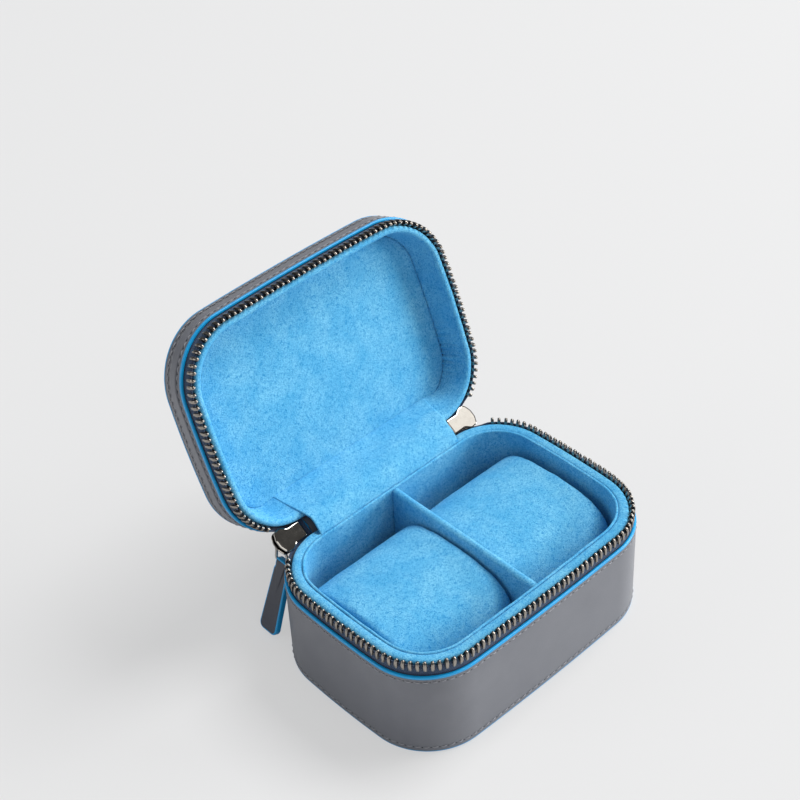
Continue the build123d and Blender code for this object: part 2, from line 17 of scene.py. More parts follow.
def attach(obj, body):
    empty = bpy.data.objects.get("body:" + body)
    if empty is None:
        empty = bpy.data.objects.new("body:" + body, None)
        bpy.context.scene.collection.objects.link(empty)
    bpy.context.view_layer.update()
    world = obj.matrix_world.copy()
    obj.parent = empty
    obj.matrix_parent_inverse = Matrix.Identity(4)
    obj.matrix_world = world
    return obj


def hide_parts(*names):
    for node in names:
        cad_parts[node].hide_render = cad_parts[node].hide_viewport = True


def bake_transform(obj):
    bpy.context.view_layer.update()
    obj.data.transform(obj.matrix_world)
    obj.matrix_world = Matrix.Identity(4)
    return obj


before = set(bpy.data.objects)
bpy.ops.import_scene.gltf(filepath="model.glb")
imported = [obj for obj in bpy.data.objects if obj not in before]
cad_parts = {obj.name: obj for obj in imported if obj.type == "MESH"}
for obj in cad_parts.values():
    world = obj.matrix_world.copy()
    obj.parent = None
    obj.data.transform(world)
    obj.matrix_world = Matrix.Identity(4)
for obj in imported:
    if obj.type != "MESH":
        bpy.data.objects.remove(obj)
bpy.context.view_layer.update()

LOG = logging.getLogger("watch_case")
MM = 0.001
BOX_HEIGHT = 47.0
LID_HEIGHT = 13.5
SHUT_HEIGHT = 73.5
FLAT_RING = 0.12

Array = np.ndarray
Place = Callable[[Array], Array]


# ---- shapes ---------------------------------------------------------------------------------------
class Shape:
    """Points and faces collected as arrays, then put into one mesh."""

    def __init__(self) -> None:
        """Starts empty."""
        self.points: list[Array] = []
        self.faces: list[Array] = []
        self.kinds: list[Array] = []
        self.maps: list[Array] = []
        self.count = 0

    def add(self, points: Array, faces: Array, kind: int = 0, maps: Array | None = None) -> None:
        """Keeps one block of points and faces.

        Args:
            points: (..., 3) in millimetres.
            faces: (F, 3 or 4) indices into these points.
            kind: material index.
            maps: (F, 3 or 4, 2) UV of each face corner, or None for zeros.
        """
        self.points.append(points.reshape(-1, 3))
        self.faces.append(faces + self.count)
        self.kinds.append(np.full(len(faces), kind))
        self.maps.append(np.zeros(faces.shape + (2,)) if maps is None else maps)
        self.count += points.size // 3

    def grid(self, points: Array, wrap_rows: bool = False, wrap_cols: bool = False, kind: int = 0,
             u: Array | None = None, v: Array | None = None) -> Array:
        """Joins a grid of points in quads.

        Args:
            points: (rows, cols, 3) in millimetres.
            wrap_rows: whether the last row joins the first.
            wrap_cols: whether the last column joins the first.
            kind: material index.
            u: position along a row in millimetres, one more than the columns where they wrap.
            v: position across the rows in millimetres, one more than the rows where they wrap.

        Returns:
            The index of each point in the mesh, (rows, cols).
        """
        rows, cols = points.shape[:2]
        r, c = np.meshgrid(np.arange(rows - (not wrap_rows)), np.arange(cols - (not wrap_cols)),
                           indexing="ij")
        r_next, c_next = (r + 1) % rows, (c + 1) % cols
        corners = [r * cols + c, r * cols + c_next, r_next * cols + c_next, r_next * cols + c]
        faces = np.stack(corners, -1).reshape(-1, 4)
        maps = None
        if u is not None and v is not None:
            spots = [(u[c], v[r]), (u[c + 1], v[r]), (u[c + 1], v[r + 1]), (u[c], v[r + 1])]
            maps = np.stack([np.stack(spot, -1) for spot in spots], -2).reshape(-1, 4, 2)
        first = self.count
        self.add(points, faces, kind, maps)
        return first + np.arange(rows * cols).reshape(rows, cols)

    def cap(self, ring: Array, centre: Array, kind: int = 0) -> None:
        """Closes a ring of mesh points with triangles to a centre point.

        Args:
            ring: (N,) indices of the ring's points in the mesh.
            centre: (3,) the centre point.
            kind: material index.
        """
        middle = self.count
        following = np.roll(ring, -1)
        faces = np.stack([ring, following, np.full(len(ring), middle)], -1) - self.count
        self.add(np.asarray(centre, float).reshape(1, 3), faces, kind)

    def repeat(self, points: Array, faces: Array, origins: Array, axes: Array, kind: int = 0) -> None:
        """Copies a small shape to many places: each point is origin + x*axis0 + y*axis1 + z*axis2.

        Args:
            points: (P, 3) of the small shape.
            faces: (F, 4) of the small shape.
            origins: (N, 3) places.
            axes: (N, 3, 3) local axes as rows.
            kind: material index.
        """
        placed = origins[:, None] + np.einsum("pk,nkj->npj", points, axes)
        offsets = np.arange(len(origins))[:, None, None] * len(points)
        self.add(placed, (faces[None] + offsets).reshape(-1, faces.shape[1]), kind)

    def close_edge(self, index: Array, left: bool, kind: int = 0) -> None:
        """Closes the cut end of a flat strip with quads between its two faces.

        Args:
            index: (2 * N,) mesh points round the end, down one face and back up the other.
            left: whether it is the end towards -X.
            kind: material index.
        """
        half = len(index) // 2
        near, far = index[:half], index[half:][::-1]
        faces = np.stack([near[:-1], near[1:], far[1:], far[:-1]], -1)
        self.faces.append(faces[:, ::-1] if left else faces)
        self.kinds.append(np.full(len(faces), kind))
        self.maps.append(np.zeros(faces.shape + (2,)))

    def make(self, name: str, finishes: Sequence[bpy.types.Material],
             closed: bool = True) -> bpy.types.Object:
        """Puts everything into one mesh object.

        Args:
            name: the object's name.
            finishes: one material for each material index.
            closed: whether the mesh is closed, so that it can be turned outwards by its volume.

        Returns:
            The object, at the origin.
        """
        points = np.concatenate(self.points)
        if closed:
            self._turn_outwards(points)
        mesh = bpy.data.meshes.new(name)
        faces = [row for block in self.faces for row in block.tolist()]
        mesh.from_pydata((points * MM).tolist(), [], faces)
        mesh.polygons.foreach_set("material_index", np.concatenate(self.kinds).astype(np.int32))
        mesh.polygons.foreach_set("use_smooth", np.ones(len(faces), bool))
        layer = mesh.uv_layers.new(name="surface_mm")
        flat_maps = np.concatenate([block.reshape(-1) for block in self.maps])
        layer.data.foreach_set("uv", flat_maps.astype(np.float32))
        for finish in finishes:
            mesh.materials.append(finish)
        mesh.update()
        item = bpy.data.objects.new(name, mesh)
        bpy.context.scene.collection.objects.link(item)
        return item

    def _turn_outwards(self, points: Array) -> None:
        """Reverses all faces where the volume that they enclose is negative.

        Args:
            points: (N, 3) all points of the mesh.
        """
        if self._volume(points) < 0:
            self.faces = [faces[:, ::-1] for faces in self.faces]
            self.maps = [maps[:, ::-1] for maps in self.maps]

    def _volume(self, points: Array) -> float:
        """Signed volume, the sum of a.(b x c)/6 over all triangles, with each quad cut in two.

        Args:
            points: (N, 3) all points of the mesh.

        Returns:
            The volume, negative where the faces point inwards.
        """
        total = 0.0
        for faces in self.faces:
            for b, c in ((1, 2), (2, 3))[: faces.shape[1] - 2]:
                corners = points[faces[:, 0]], points[faces[:, b]], points[faces[:, c]]
                total += float(np.einsum("ij,ij->", corners[0], np.cross(corners[1], corners[2])))
        return total / 6


def arc(x: float, y: float, radius: float, start: float, end: float, count: int) -> Array:
    """Points (count, 2) on a circle's arc, angles in degrees."""
    turn = np.radians(np.linspace(start, end, count))
    return np.stack([x + radius * np.cos(turn), y + radius * np.sin(turn)], -1)


def ripple(points: Array, wavelength: float, seed: int, waves: int = 7) -> Array:
    """Smooth unevenness: the mean of sine waves in seeded directions, near one wavelength.

    Args:
        points: (..., 3) where it is wanted.
        wavelength: its usual length in millimetres.
        seed: seeds the directions and phases.
        waves: how many waves are added.

    Returns:
        (...) values between about -1 and 1.
    """
    rng = np.random.default_rng(seed)
    directions = rng.normal(size=(waves, 3))
    directions /= np.linalg.norm(directions, axis=1, keepdims=True)
    numbers = 2 * np.pi / (wavelength * rng.uniform(0.7, 1.5, waves))
    phases = rng.uniform(0, 2 * np.pi, waves)
    return np.sin(points @ (directions * numbers[:, None]).T + phases).mean(-1) * 1.6


def smooth(line: Array, steps: int) -> Array:
    """A Catmull-Rom curve: each span is the cubic whose slope at a point is half its neighbours' distance.

    Args:
        line: (N, K) points that it passes through.
        steps: steps in each span.

    Returns:
        ((N - 1) * steps + 1, K) points.
    """
    padded = np.vstack([2 * line[0] - line[1], line, 2 * line[-1] - line[-2]])
    t = np.linspace(0, 1, steps, endpoint=False)[None, :, None]
    a, b, c, d = (padded[i:len(padded) - 3 + i, None] for i in range(4))
    squared, cubed = (2 * a - 5 * b + 4 * c - d) * t ** 2, (3 * b - a - 3 * c + d) * t ** 3
    curve = 0.5 * (2 * b + (c - a) * t + squared + cubed)
    return np.vstack([curve.reshape(-1, line.shape[1]), line[-1:]])


def inward(loop: Array) -> Array:
    """Unit normals into a closed loop, from the central differences of its points.

    Args:
        loop: (N, 2) counter-clockwise points.

    Returns:
        (N, 2) normals.
    """
    along = np.roll(loop, -1, 0) - np.roll(loop, 1, 0)
    along /= np.linalg.norm(along, axis=1, keepdims=True)
    return np.stack([-along[:, 1], along[:, 0]], -1)


def resample(loop: Array, count: int) -> Array:
    """A closed loop cut again in equal steps along its straight spans.

    Args:
        loop: (N, 2) points.
        count: points on the new loop.

    Returns:
        (count, 2) points.
    """
    ring = np.vstack([loop, loop[:1]])
    run = np.concatenate([[0], np.cumsum(np.linalg.norm(np.diff(ring, axis=0), axis=1))])
    spots = np.linspace(0, run[-1], count, endpoint=False)
    return np.stack([np.interp(spots, run, ring[:, k]) for k in range(2)], -1)


def rounded(corners: Sequence[tuple[float, float]], radii: Sequence[float], count: int) -> Array:
    """A closed polygon, counter-clockwise, with each corner rounded by an arc of its radius.

    Args:
        corners: the polygon's corners.
        radii: one radius for each corner.
        count: points on the returned loop.

    Returns:
        (count, 2) points at equal steps.
    """
    spots = np.array(corners, float)
    pieces = []
    for here, before, after, radius in zip(spots, np.roll(spots, 1, 0), np.roll(spots, -1, 0), radii):
        to_before = (before - here) / np.linalg.norm(before - here)
        to_after = (after - here) / np.linalg.norm(after - here)
        half = np.arccos(np.clip(to_before @ to_after, -1, 1)) / 2
        bisector = (to_before + to_after) / np.linalg.norm(to_before + to_after)
        centre = here + bisector * radius / np.sin(half)
        start = here + to_before * radius / np.tan(half) - centre
        end = here + to_after * radius / np.tan(half) - centre
        t = np.linspace(0, 1, 12)[:, None]
        angle = np.arccos(np.clip(start @ end / radius ** 2, -1, 1))
        turned = np.sin((1 - t) * angle) * start + np.sin(t * angle) * end
        pieces.append(centre + turned / np.sin(angle))
    return resample(np.vstack(pieces), count)


def slab(shape: Shape, loop: Array, rings: Sequence[tuple[float, float, int]], place: Place) -> None:
    """A plate with shaped edges: each ring is the loop drawn in by an inset, at a height.

    A narrow flat ring is added at both ends, so that the caps are shaded flat, and both are capped.

    Args:
        shape: where the plate goes.
        loop: counter-clockwise plan (N, 2).
        rings: (inset, height, material index of the face strip that follows).
        place: turns local points (..., 3) into the model's frame.
    """
    normals = inward(loop)
    first, last = rings[0], rings[-1]
    rings = [(first[0] + FLAT_RING, *first[1:]), *rings, (last[0] + FLAT_RING, *last[1:])]
    rows = [np.column_stack([loop + normals * inset, np.full(len(loop), height)])
            for inset, height, _ in rings]
    indices = []
    for i in range(len(rings) - 1):
        indices.append(shape.grid(place(np.stack(rows[i:i + 2])), wrap_cols=True, kind=rings[i][2]))
    shape.cap(indices[0][0][::-1], place(np.array([*loop.mean(0), rings[0][1]])), rings[0][2])
    shape.cap(indices[-1][1], place(np.array([*loop.mean(0), rings[-1][1]])), rings[-1][2])


def solidify(item: bpy.types.Object, thickness: float, offset: float = 0.0) -> None:
    """Gives an open sheet its thickness.

    Args:
        item: the sheet.
        thickness: in millimetres.
        offset: -1 for all of it behind the faces, 0 for half on each side.
    """
    modifier = item.modifiers.new("thickness", "SOLIDIFY")
    modifier.thickness = thickness * MM
    modifier.offset = offset


def bake(item: bpy.types.Object) -> None:
    """Applies an object's modifiers to its mesh.

    Args:
        item: the object.
    """
    graph = bpy.context.evaluated_depsgraph_get()
    mesh = bpy.data.meshes.new_from_object(item.evaluated_get(graph))
    item.modifiers.clear()
    item.data = mesh


# ---- plan of the case and its hinge ---------------------------------------------------------------
@dataclass(frozen=True)
class Plan:
    """Plan of the case: bowed ends and front, a straight back, and round corners."""

    length: float = 150.0
    depth: float = 105.0
    end_bow: float = 510.0
    front_bow: float = 1550.0
    corner: float = 30.5

    def table(self) -> tuple[Array, Array, Array]:
        """The right half of the outline from the middle of the front to the middle of the back.

        Returns:
            Distance (N,), points (N, 2) and outward normals (N, 2). Each stretch is an arc about its
            own centre, and the corner arcs' centres lie a corner radius inside both neighbours.
        """
        front = np.array([0.0, self.front_bow - self.depth / 2])
        end = np.array([self.length / 2 - self.end_bow, 0.0])
        near = self._meet(front, self.front_bow - self.corner, end, self.end_bow - self.corner)
        far_y = self.depth / 2 - self.corner
        far = np.array([end[0] + np.sqrt((self.end_bow - self.corner) ** 2 - far_y ** 2), far_y])
        to_front, to_near = self._bearing(front, near), self._bearing(end, near)
        to_far = self._bearing(end, far)
        arcs = [(front, self.front_bow, -90, to_front, 240),
                (near, self.corner, to_front, to_near, 240),
                (end, self.end_bow, to_near, to_far, 320),
                (far, self.corner, to_far, 90, 240)]
        points = [arc(*centre, radius, a, b, n)[:-1] for centre, radius, a, b, n in arcs]
        normals = [arc(0, 0, 1, a, b, n)[:-1] for _, _, a, b, n in arcs]
        back = np.stack([np.linspace(far[0], 0, 200), np.full(200, self.depth / 2)], -1)
        spots = np.vstack(points + [back])
        run = np.concatenate([[0], np.cumsum(np.linalg.norm(np.diff(spots, axis=0), axis=1))])
        return run, spots, np.vstack(normals + [np.tile([0.0, 1.0], (200, 1))])

    @staticmethod
    def _bearing(centre: Array, to: Array) -> float:
        """Direction in degrees from one point to another."""
        return np.degrees(np.arctan2(*(to - centre)[::-1]))

    @staticmethod
    def _meet(a: Array, a_radius: float, b: Array, b_radius: float) -> Array:
        """Where two circles cross, in the quarter with positive X and negative Y.

        Args:
            a: centre of the first circle.
            a_radius: its radius.
            b: centre of the second circle.
            b_radius: its radius.

        Returns:
            (2,) the point.
        """
        apart = np.linalg.norm(b - a)
        along = (a_radius ** 2 - b_radius ** 2 + apart ** 2) / (2 * apart)
        aside = np.sqrt(a_radius ** 2 - along ** 2)
        unit = (b - a) / apart
        both = [a + unit * along + side * aside * np.array([-unit[1], unit[0]]) for side in (-1, 1)]
        return both[0] if both[0][0] > 0 > both[0][1] else both[1]

    def half(self) -> float:
        """Half the outline's length."""
        return float(self.table()[0][-1])

    def at(self, run: Array) -> tuple[Array, Array]:
        """Reads the outline by interpolation in its table, and mirrors it for negative distances.

        Args:
            run: (N,) signed distances from the middle of the front, + towards +X.

        Returns:
            Points (N, 2) and outward unit normals (N, 2).
        """
        distance, spots, normals = self.table()
        side = np.where(run < 0, -1.0, 1.0)
        points, outward = (np.stack([np.interp(np.abs(run), distance, data[:, k]) for k in range(2)], -1)
                           for data in (spots, normals))
        outward /= np.linalg.norm(outward, axis=-1, keepdims=True)
        points[..., 0] *= side
        outward[..., 0] *= side
        return points, outward

    def loop(self, step: float) -> Array:
        """Signed distances round the whole outline in equal steps."""
        half = self.half()
        return np.linspace(-half, half, int(2 * half / step), endpoint=False)

    def spaced(self, inset: float, pitch: float, phase: float) -> Array:
        """Signed distances whose points on an inset line lie one pitch apart, both ways from the front.

        Args:
            inset: how far in the line lies.
            pitch: distance between neighbours on that line.
            phase: share of a pitch between the middle of the front and the first point.

        Returns:
            (N,) distances in rising order.
        """
        distance, spots, normals = self.table()
        inner = spots - inset * normals
        run = np.concatenate([[0], np.cumsum(np.linalg.norm(np.diff(inner, axis=0), axis=1))])
        steps = (np.arange(int(run[-1] / pitch)) + phase) * pitch
        ahead = np.interp(steps, run, distance)
        behind = -ahead[::-1] if phase else -ahead[:0:-1]
        return np.concatenate([behind, ahead])

    def sweep(self, run: Array, inset: Array, height: Array) -> Array:
        """Carries a profile along the outline: each point is the outline's, moved in by the inset.

        Args:
            run: (N,) signed distances.
            inset: (K,) or (K, N) distances in from the outer face.
            height: (K,) or (K, N) heights.

        Returns:
            (K, N, 3) points.
        """
        points, outward = self.at(run)
        inset = inset[:, None] if inset.ndim == 1 else inset
        height = height[:, None] if height.ndim == 1 else height
        flat = points[None] - inset[..., None] * outward[None]
        return np.concatenate([flat, np.broadcast_to(height[..., None], flat.shape[:2] + (1,))], -1)


@dataclass(frozen=True)
class HingeLine:
    """The line about which the lid turns, and how far it stands open."""

    y: float = 53.0
    z: float = 53.5
    angle: float = 112.0

    def open(self, points: Array) -> Array:
        """Turns points of the shut lid to where they lie with the lid open."""
        return self.turn(points, -self.angle)

    def turn(self, points: Array, degrees: float) -> Array:
        """Turns points about the hinge line, from +Y towards +Z for positive angles.

        Args:
            points: (..., 3) points.
            degrees: angle of the turn.

        Returns:
            The turned points.
        """
        c, s = np.cos(np.radians(degrees)), np.sin(np.radians(degrees))
        y, z = points[..., 1] - self.y, points[..., 2] - self.z
        return np.stack([points[..., 0], self.y + y * c - z * s, self.z + y * s + z * c], -1)


PLAN = Plan()
HINGE = HingeLine()


# ---- finishes -------------------------------------------------------------------------------------
# A Mix node has sockets of the same names for numbers, vectors and colours: these are the colours'.
FACTOR, COLOUR_A, COLOUR_B, COLOUR_OUT = 0, 6, 7, 2


def linear(code: str, share: float = 1.0) -> tuple[float, float, float, float]:
    """An sRGB hex colour as linear RGBA.

    Args:
        code: the colour, such as "#8090a0".
        share: share of its light that is kept, below 1 for a darker tone.

    Returns:
        Linear red, green and blue, and an alpha of 1.
    """
    parts = np.array([int(code[i:i + 2], 16) for i in (1, 3, 5)]) / 255
    values = np.where(parts <= 0.04045, parts / 12.92, ((parts + 0.055) / 1.055) ** 2.4)
    return (*(share * float(v) for v in values), 1.0)


def add(tree: bpy.types.NodeTree, kind: str, links: dict | None = None, **settings) -> bpy.types.Node:
    """Adds a node to a tree.

    Args:
        tree: the material's or the world's nodes.
        kind: Blender's name for the node.
        links: a socket to link from, or a constant, for each input by its name or number.
        **settings: the node's own attributes.

    Returns:
        The node.
    """
    node = tree.nodes.new(kind)
    for key, value in settings.items():
        setattr(node, key, value)
    for key, value in (links or {}).items():
        if isinstance(value, bpy.types.NodeSocket):
            tree.links.new(value, node.inputs[key])
        else:
            node.inputs[key].default_value = value
    return node


def blank(name: str) -> tuple[bpy.types.Material, bpy.types.NodeTree, bpy.types.Node]:
    """A new node material with its tree and its Principled shader.

    Args:
        name: the material's name.

    Returns:
        The material, its nodes and its shader.
    """
    material = bpy.data.materials.new(name)
    material.use_nodes = True
    tree = material.node_tree
    return material, tree, tree.nodes["Principled BSDF"]


def finish(tree: bpy.types.NodeTree, shader: bpy.types.Node, linked: dict, constants: dict) -> None:
    """Gives a shader its linked inputs and its constant ones.

    Args:
        tree: the material's nodes.
        shader: its Principled shader.
        linked: the socket to link from, for each input's name.
        constants: the value of each other input.
    """
    for key, socket in linked.items():
        tree.links.new(socket, shader.inputs[key])
    for key, value in constants.items():
        shader.inputs[key].default_value = value


@dataclass(frozen=True)
class Suede:
    """Brushed microfibre suede: cut fibres lie in patches, so it is light where they lean to the light, here
    painted as sheen in random patches.

    The fibres are finer than a pixel, so the tufts of the nap are drawn 0.9 mm wide.
    """

    name: str = "microfibre_suede"
    colour: str = "#5eb3dc"
    # the lighter blue of the patches: painted sheen of fibres that lean to the light
    light: str = "#7ac5e4"
    shade: str = "#2486c2"
    gleam: str = "#8fd0ff"
    patch: float = 15.0
    nap: float = 0.9
    fibre: float = 0.42

    def material(self) -> bpy.types.Material:
        """Large random patches of noise mix in the lighter blue as painted sheen, and small curled tufts mix
        in the shade blue; fine noise raises the fibres.

        Returns:
            The material.
        """
        material, tree, shader = blank(self.name)
        where = add(tree, "ShaderNodeTexCoord").outputs["Object"]
        patches = add(tree, "ShaderNodeTexNoise", {
            "Vector": where, "Scale": 1 / (self.patch * MM), "Detail": 3.0, "Roughness": 0.6,
            "Distortion": 0.4})
        tufts = add(tree, "ShaderNodeTexNoise", {
            "Vector": where, "Scale": 1 / (self.nap * MM), "Detail": 3.0, "Roughness": 0.65,
            "Distortion": 1.6})
        fibres = add(tree, "ShaderNodeTexNoise", {
            "Vector": where, "Scale": 1 / (self.fibre * MM), "Detail": 2.0, "Roughness": 0.6})
        # painted sheen: random patches lift the colour towards the lighter blue
        spread = add(tree, "ShaderNodeMapRange", {
            "Value": patches.outputs[0], "From Min": 0.3, "From Max": 0.7}, interpolation_type="SMOOTHSTEP")
        tuft = add(tree, "ShaderNodeMapRange", {
            "Value": tufts.outputs[0], "From Min": 0.46, "From Max": 0.6, "To Max": 0.85})
        base = add(tree, "ShaderNodeMix", {
            FACTOR: spread.outputs[0], COLOUR_A: linear(self.colour), COLOUR_B: linear(self.light)},
            data_type="RGBA")
        mixed = add(tree, "ShaderNodeMix", {
            FACTOR: tuft.outputs[0], COLOUR_A: base.outputs[COLOUR_OUT], COLOUR_B: linear(self.shade)},
            data_type="RGBA")
        height = add(tree, "ShaderNodeMath", {0: tufts.outputs[0], 1: fibres.outputs[0]}, operation="ADD")
        bump = add(tree, "ShaderNodeBump", {
            "Height": height.outputs[0], "Strength": 0.7, "Distance": 0.3 * MM})
        finish(tree, shader, {"Base Color": mixed.outputs[COLOUR_OUT], "Normal": bump.outputs[0]},
               {"Roughness": 0.95, "Specular IOR Level": 0.2, "Sheen Weight": 0.12,
                "Sheen Roughness": 0.4, "Sheen Tint": linear(self.gleam)})
        return material


@dataclass(frozen=True)
class BoxCalf:
    """Smooth chrome-tanned calf, plated under heat: a tight grain that shows as a soft wide gleam."""

    name: str = "grey_box_calf"
    colour: str = "#676970"
    light: str = "#72747a"
    grain: float = 0.55
    cloud: float = 24.0
    roughness: float = 0.36

    def material(self) -> bpy.types.Material:
        """Cloudy noise shifts the grey and the gloss a little; small Voronoi cells make the pores.

        Returns:
            The material.
        """
        material, tree, shader = blank(self.name)
        where = add(tree, "ShaderNodeTexCoord").outputs["Object"]
        clouds = add(tree, "ShaderNodeTexNoise", {
            "Vector": where, "Scale": 1 / (self.cloud * MM), "Detail": 5.0, "Roughness": 0.6})
        pores = add(tree, "ShaderNodeTexVoronoi", {"Vector": where, "Scale": 1 / (self.grain * MM)},
                    feature="DISTANCE_TO_EDGE")
        fine = add(tree, "ShaderNodeTexNoise", {
            "Vector": where, "Scale": 1 / (self.grain * 0.4 * MM), "Detail": 3.0})
        tone = add(tree, "ShaderNodeMapRange", {
            "Value": clouds.outputs[0], "From Min": 0.3, "From Max": 0.7})
        colour = add(tree, "ShaderNodeMix", {
            FACTOR: tone.outputs[0], COLOUR_A: linear(self.colour), COLOUR_B: linear(self.light)},
            data_type="RGBA")
        gloss = add(tree, "ShaderNodeMapRange", {
            "Value": clouds.outputs[0], "From Min": 0.25, "From Max": 0.75,
            "To Min": self.roughness - 0.05, "To Max": self.roughness + 0.07})
        edge = add(tree, "ShaderNodeMapRange", {"Value": pores.outputs[0], "From Max": 0.12})
        relief = add(tree, "ShaderNodeMath", {0: edge.outputs[0], 1: fine.outputs[0]}, operation="ADD")
        bump = add(tree, "ShaderNodeBump", {
            "Height": relief.outputs[0], "Strength": 0.12, "Distance": 0.1 * MM})
        finish(tree, shader, {"Base Color": colour.outputs[COLOUR_OUT], "Roughness": gloss.outputs[0],
                              "Normal": bump.outputs[0]}, {"Specular IOR Level": 0.5})
        return material


@dataclass(frozen=True)
class EdgePaint:
    """Acrylic edge paint in several coats: a rounded, slightly uneven film with a satin gloss."""

    name: str = "blue_edge_paint"
    colour: str = "#12a8e6"
    deep: str = "#0b90cc"
    stroke: float = 5.0
    roughness: float = 0.32

    def material(self) -> bpy.types.Material:
        """Noise of brush-stroke length shifts the blue and lifts the film.

        Returns:
            The material.
        """
        material, tree, shader = blank(self.name)
        where = add(tree, "ShaderNodeTexCoord").outputs["Object"]
        strokes = add(tree, "ShaderNodeTexNoise", {
            "Vector": where, "Scale": 1 / (self.stroke * MM), "Detail": 4.0})
        colour = add(tree, "ShaderNodeMix", {
            FACTOR: strokes.outputs[0], COLOUR_A: linear(self.colour), COLOUR_B: linear(self.deep)},
            data_type="RGBA")
        bump = add(tree, "ShaderNodeBump", {
            "Height": strokes.outputs[0], "Strength": 0.25, "Distance": 0.3 * MM})
        finish(tree, shader, {"Base Color": colour.outputs[COLOUR_OUT], "Normal": bump.outputs[0]},
               {"Roughness": self.roughness})
        return material


@dataclass(frozen=True)
class ZipTape:
    """Herringbone woven polyester tape: ribs slant one way and then the other, a rib each 0.9 mm."""

    name: str = "navy_zip_tape"
    colour: str = "#3d5474"
    # the darker colour is painted shade in the grooves between the ribs
    groove_shade: str = "#15243c"
    rib: float = 0.9
    turn: float = 1.5

    def material(self) -> bpy.types.Material:
        """Stripes of sin(u + pingpong(v)) on the UV map in millimetres make the herringbone, with painted
        shade in the grooves between the ribs.

        Returns:
            The material.
        """
        material, tree, shader = blank(self.name)
        surface = add(tree, "ShaderNodeUVMap", uv_map="surface_mm").outputs[0]
        uv = add(tree, "ShaderNodeSeparateXYZ", {"Vector": surface})
        fold = add(tree, "ShaderNodeMath", {0: uv.outputs["Y"], 1: self.turn}, operation="PINGPONG")
        slant = add(tree, "ShaderNodeMath", {0: uv.outputs["X"], 1: fold.outputs[0]}, operation="ADD")
        phase = add(tree, "ShaderNodeMath", {0: slant.outputs[0], 1: 2 * np.pi / self.rib},
                    operation="MULTIPLY")
        wave = add(tree, "ShaderNodeMath", {0: phase.outputs[0]}, operation="SINE")
        ribs = add(tree, "ShaderNodeMapRange", {"Value": wave.outputs[0], "From Min": -1.0, "From Max": 1.0})
        # painted shade: the grooves between the ribs are drawn darker
        colour = add(tree, "ShaderNodeMix", {
            FACTOR: ribs.outputs[0], COLOUR_A: linear(self.groove_shade), COLOUR_B: linear(self.colour)},
            data_type="RGBA")
        bump = add(tree, "ShaderNodeBump", {
            "Height": ribs.outputs[0], "Strength": 0.6, "Distance": 0.25 * MM})
        finish(tree, shader, {"Base Color": colour.outputs[COLOUR_OUT], "Normal": bump.outputs[0]},
               {"Roughness": 0.75, "Sheen Weight": 0.15})
        return material


@dataclass(frozen=True)
class PlatedMetal:
    """Zinc or brass, polished and plated; handling leaves faint smudges that spread the highlights."""

    name: str
    colour: str
    roughness: float
    smudge: float = 0.06
    mark: float = 3.0
    dulled: float = 0.8

    def material(self) -> bpy.types.Material:
        """Noise a few millimetres wide varies the gloss and the tone.

        Returns:
            The material.
        """
        material, tree, shader = blank(self.name)
        where = add(tree, "ShaderNodeTexCoord").outputs["Object"]
        marks = add(tree, "ShaderNodeTexNoise", {
            "Vector": where, "Scale": 1 / (self.mark * MM), "Detail": 4.0})
        gloss = add(tree, "ShaderNodeMapRange", {
            "Value": marks.outputs[0], "From Min": 0.3, "From Max": 0.7,
            "To Min": self.roughness, "To Max": self.roughness + self.smudge})
        colour = add(tree, "ShaderNodeMix", {
            FACTOR: marks.outputs[0], COLOUR_A: linear(self.colour, self.dulled),
            COLOUR_B: linear(self.colour)}, data_type="RGBA")
        finish(tree, shader, {"Base Color": colour.outputs[COLOUR_OUT], "Roughness": gloss.outputs[0]},
               {"Metallic": 1.0})
        return material


@dataclass(frozen=True)
class Thread:
    """Twisted, bonded polyester thread: matt with a fine slanting ply.

    The ply is finer than a pixel, so its twist is drawn 1.6 mm long.
    """

    name: str = "grey_thread"
    colour: str = "#9fa0a5"
    dark: str = "#7b7c81"
    twist: float = 1.6

    def material(self) -> bpy.types.Material:
        """Slanting bands of wave texture stand for the twist: the darker bands are painted shade in the ply's
        grooves.

        Returns:
            The material.
        """
        material, tree, shader = blank(self.name)
        where = add(tree, "ShaderNodeTexCoord").outputs["Object"]
        bands = add(tree, "ShaderNodeTexWave", {
            "Vector": where, "Scale": 1 / (self.twist * MM), "Distortion": 1.5}, bands_direction="DIAGONAL")
        # painted shade: the bands darken towards the darker grey in the ply's grooves
        colour = add(tree, "ShaderNodeMix", {
            FACTOR: bands.outputs[0], COLOUR_A: linear(self.dark), COLOUR_B: linear(self.colour)},
            data_type="RGBA")
        bump = add(tree, "ShaderNodeBump", {
            "Height": bands.outputs[0], "Strength": 0.3, "Distance": 0.1 * MM})
        finish(tree, shader, {"Base Color": colour.outputs[COLOUR_OUT], "Normal": bump.outputs[0]},
               {"Roughness": 0.6})
        return material


@dataclass(frozen=True)
class Padding:
    """Hidden stiffening and padding: pressed board or cut foam, dull and speckled; the same dark speckle also
    colours the painted shade in the needle holes.
    """

    name: str
    colour: str
    speck: float
    darkest: float = 0.75

    def material(self) -> bpy.types.Material:
        """Speckled noise over one dull colour.

        Returns:
            The material.
        """
        material, tree, shader = blank(self.name)
        where = add(tree, "ShaderNodeTexCoord").outputs["Object"]
        specks = add(tree, "ShaderNodeTexNoise", {
            "Vector": where, "Scale": 1 / (self.speck * MM), "Detail": 6.0})
        colour = add(tree, "ShaderNodeMix", {
            FACTOR: specks.outputs[0], COLOUR_A: linear(self.colour, self.darkest),
            COLOUR_B: linear(self.colour)}, data_type="RGBA")
        bump = add(tree, "ShaderNodeBump", {
            "Height": specks.outputs[0], "Strength": 0.3, "Distance": 0.2 * MM})
        finish(tree, shader, {"Base Color": colour.outputs[COLOUR_OUT], "Normal": bump.outputs[0]},
               {"Roughness": 0.9})
        return material


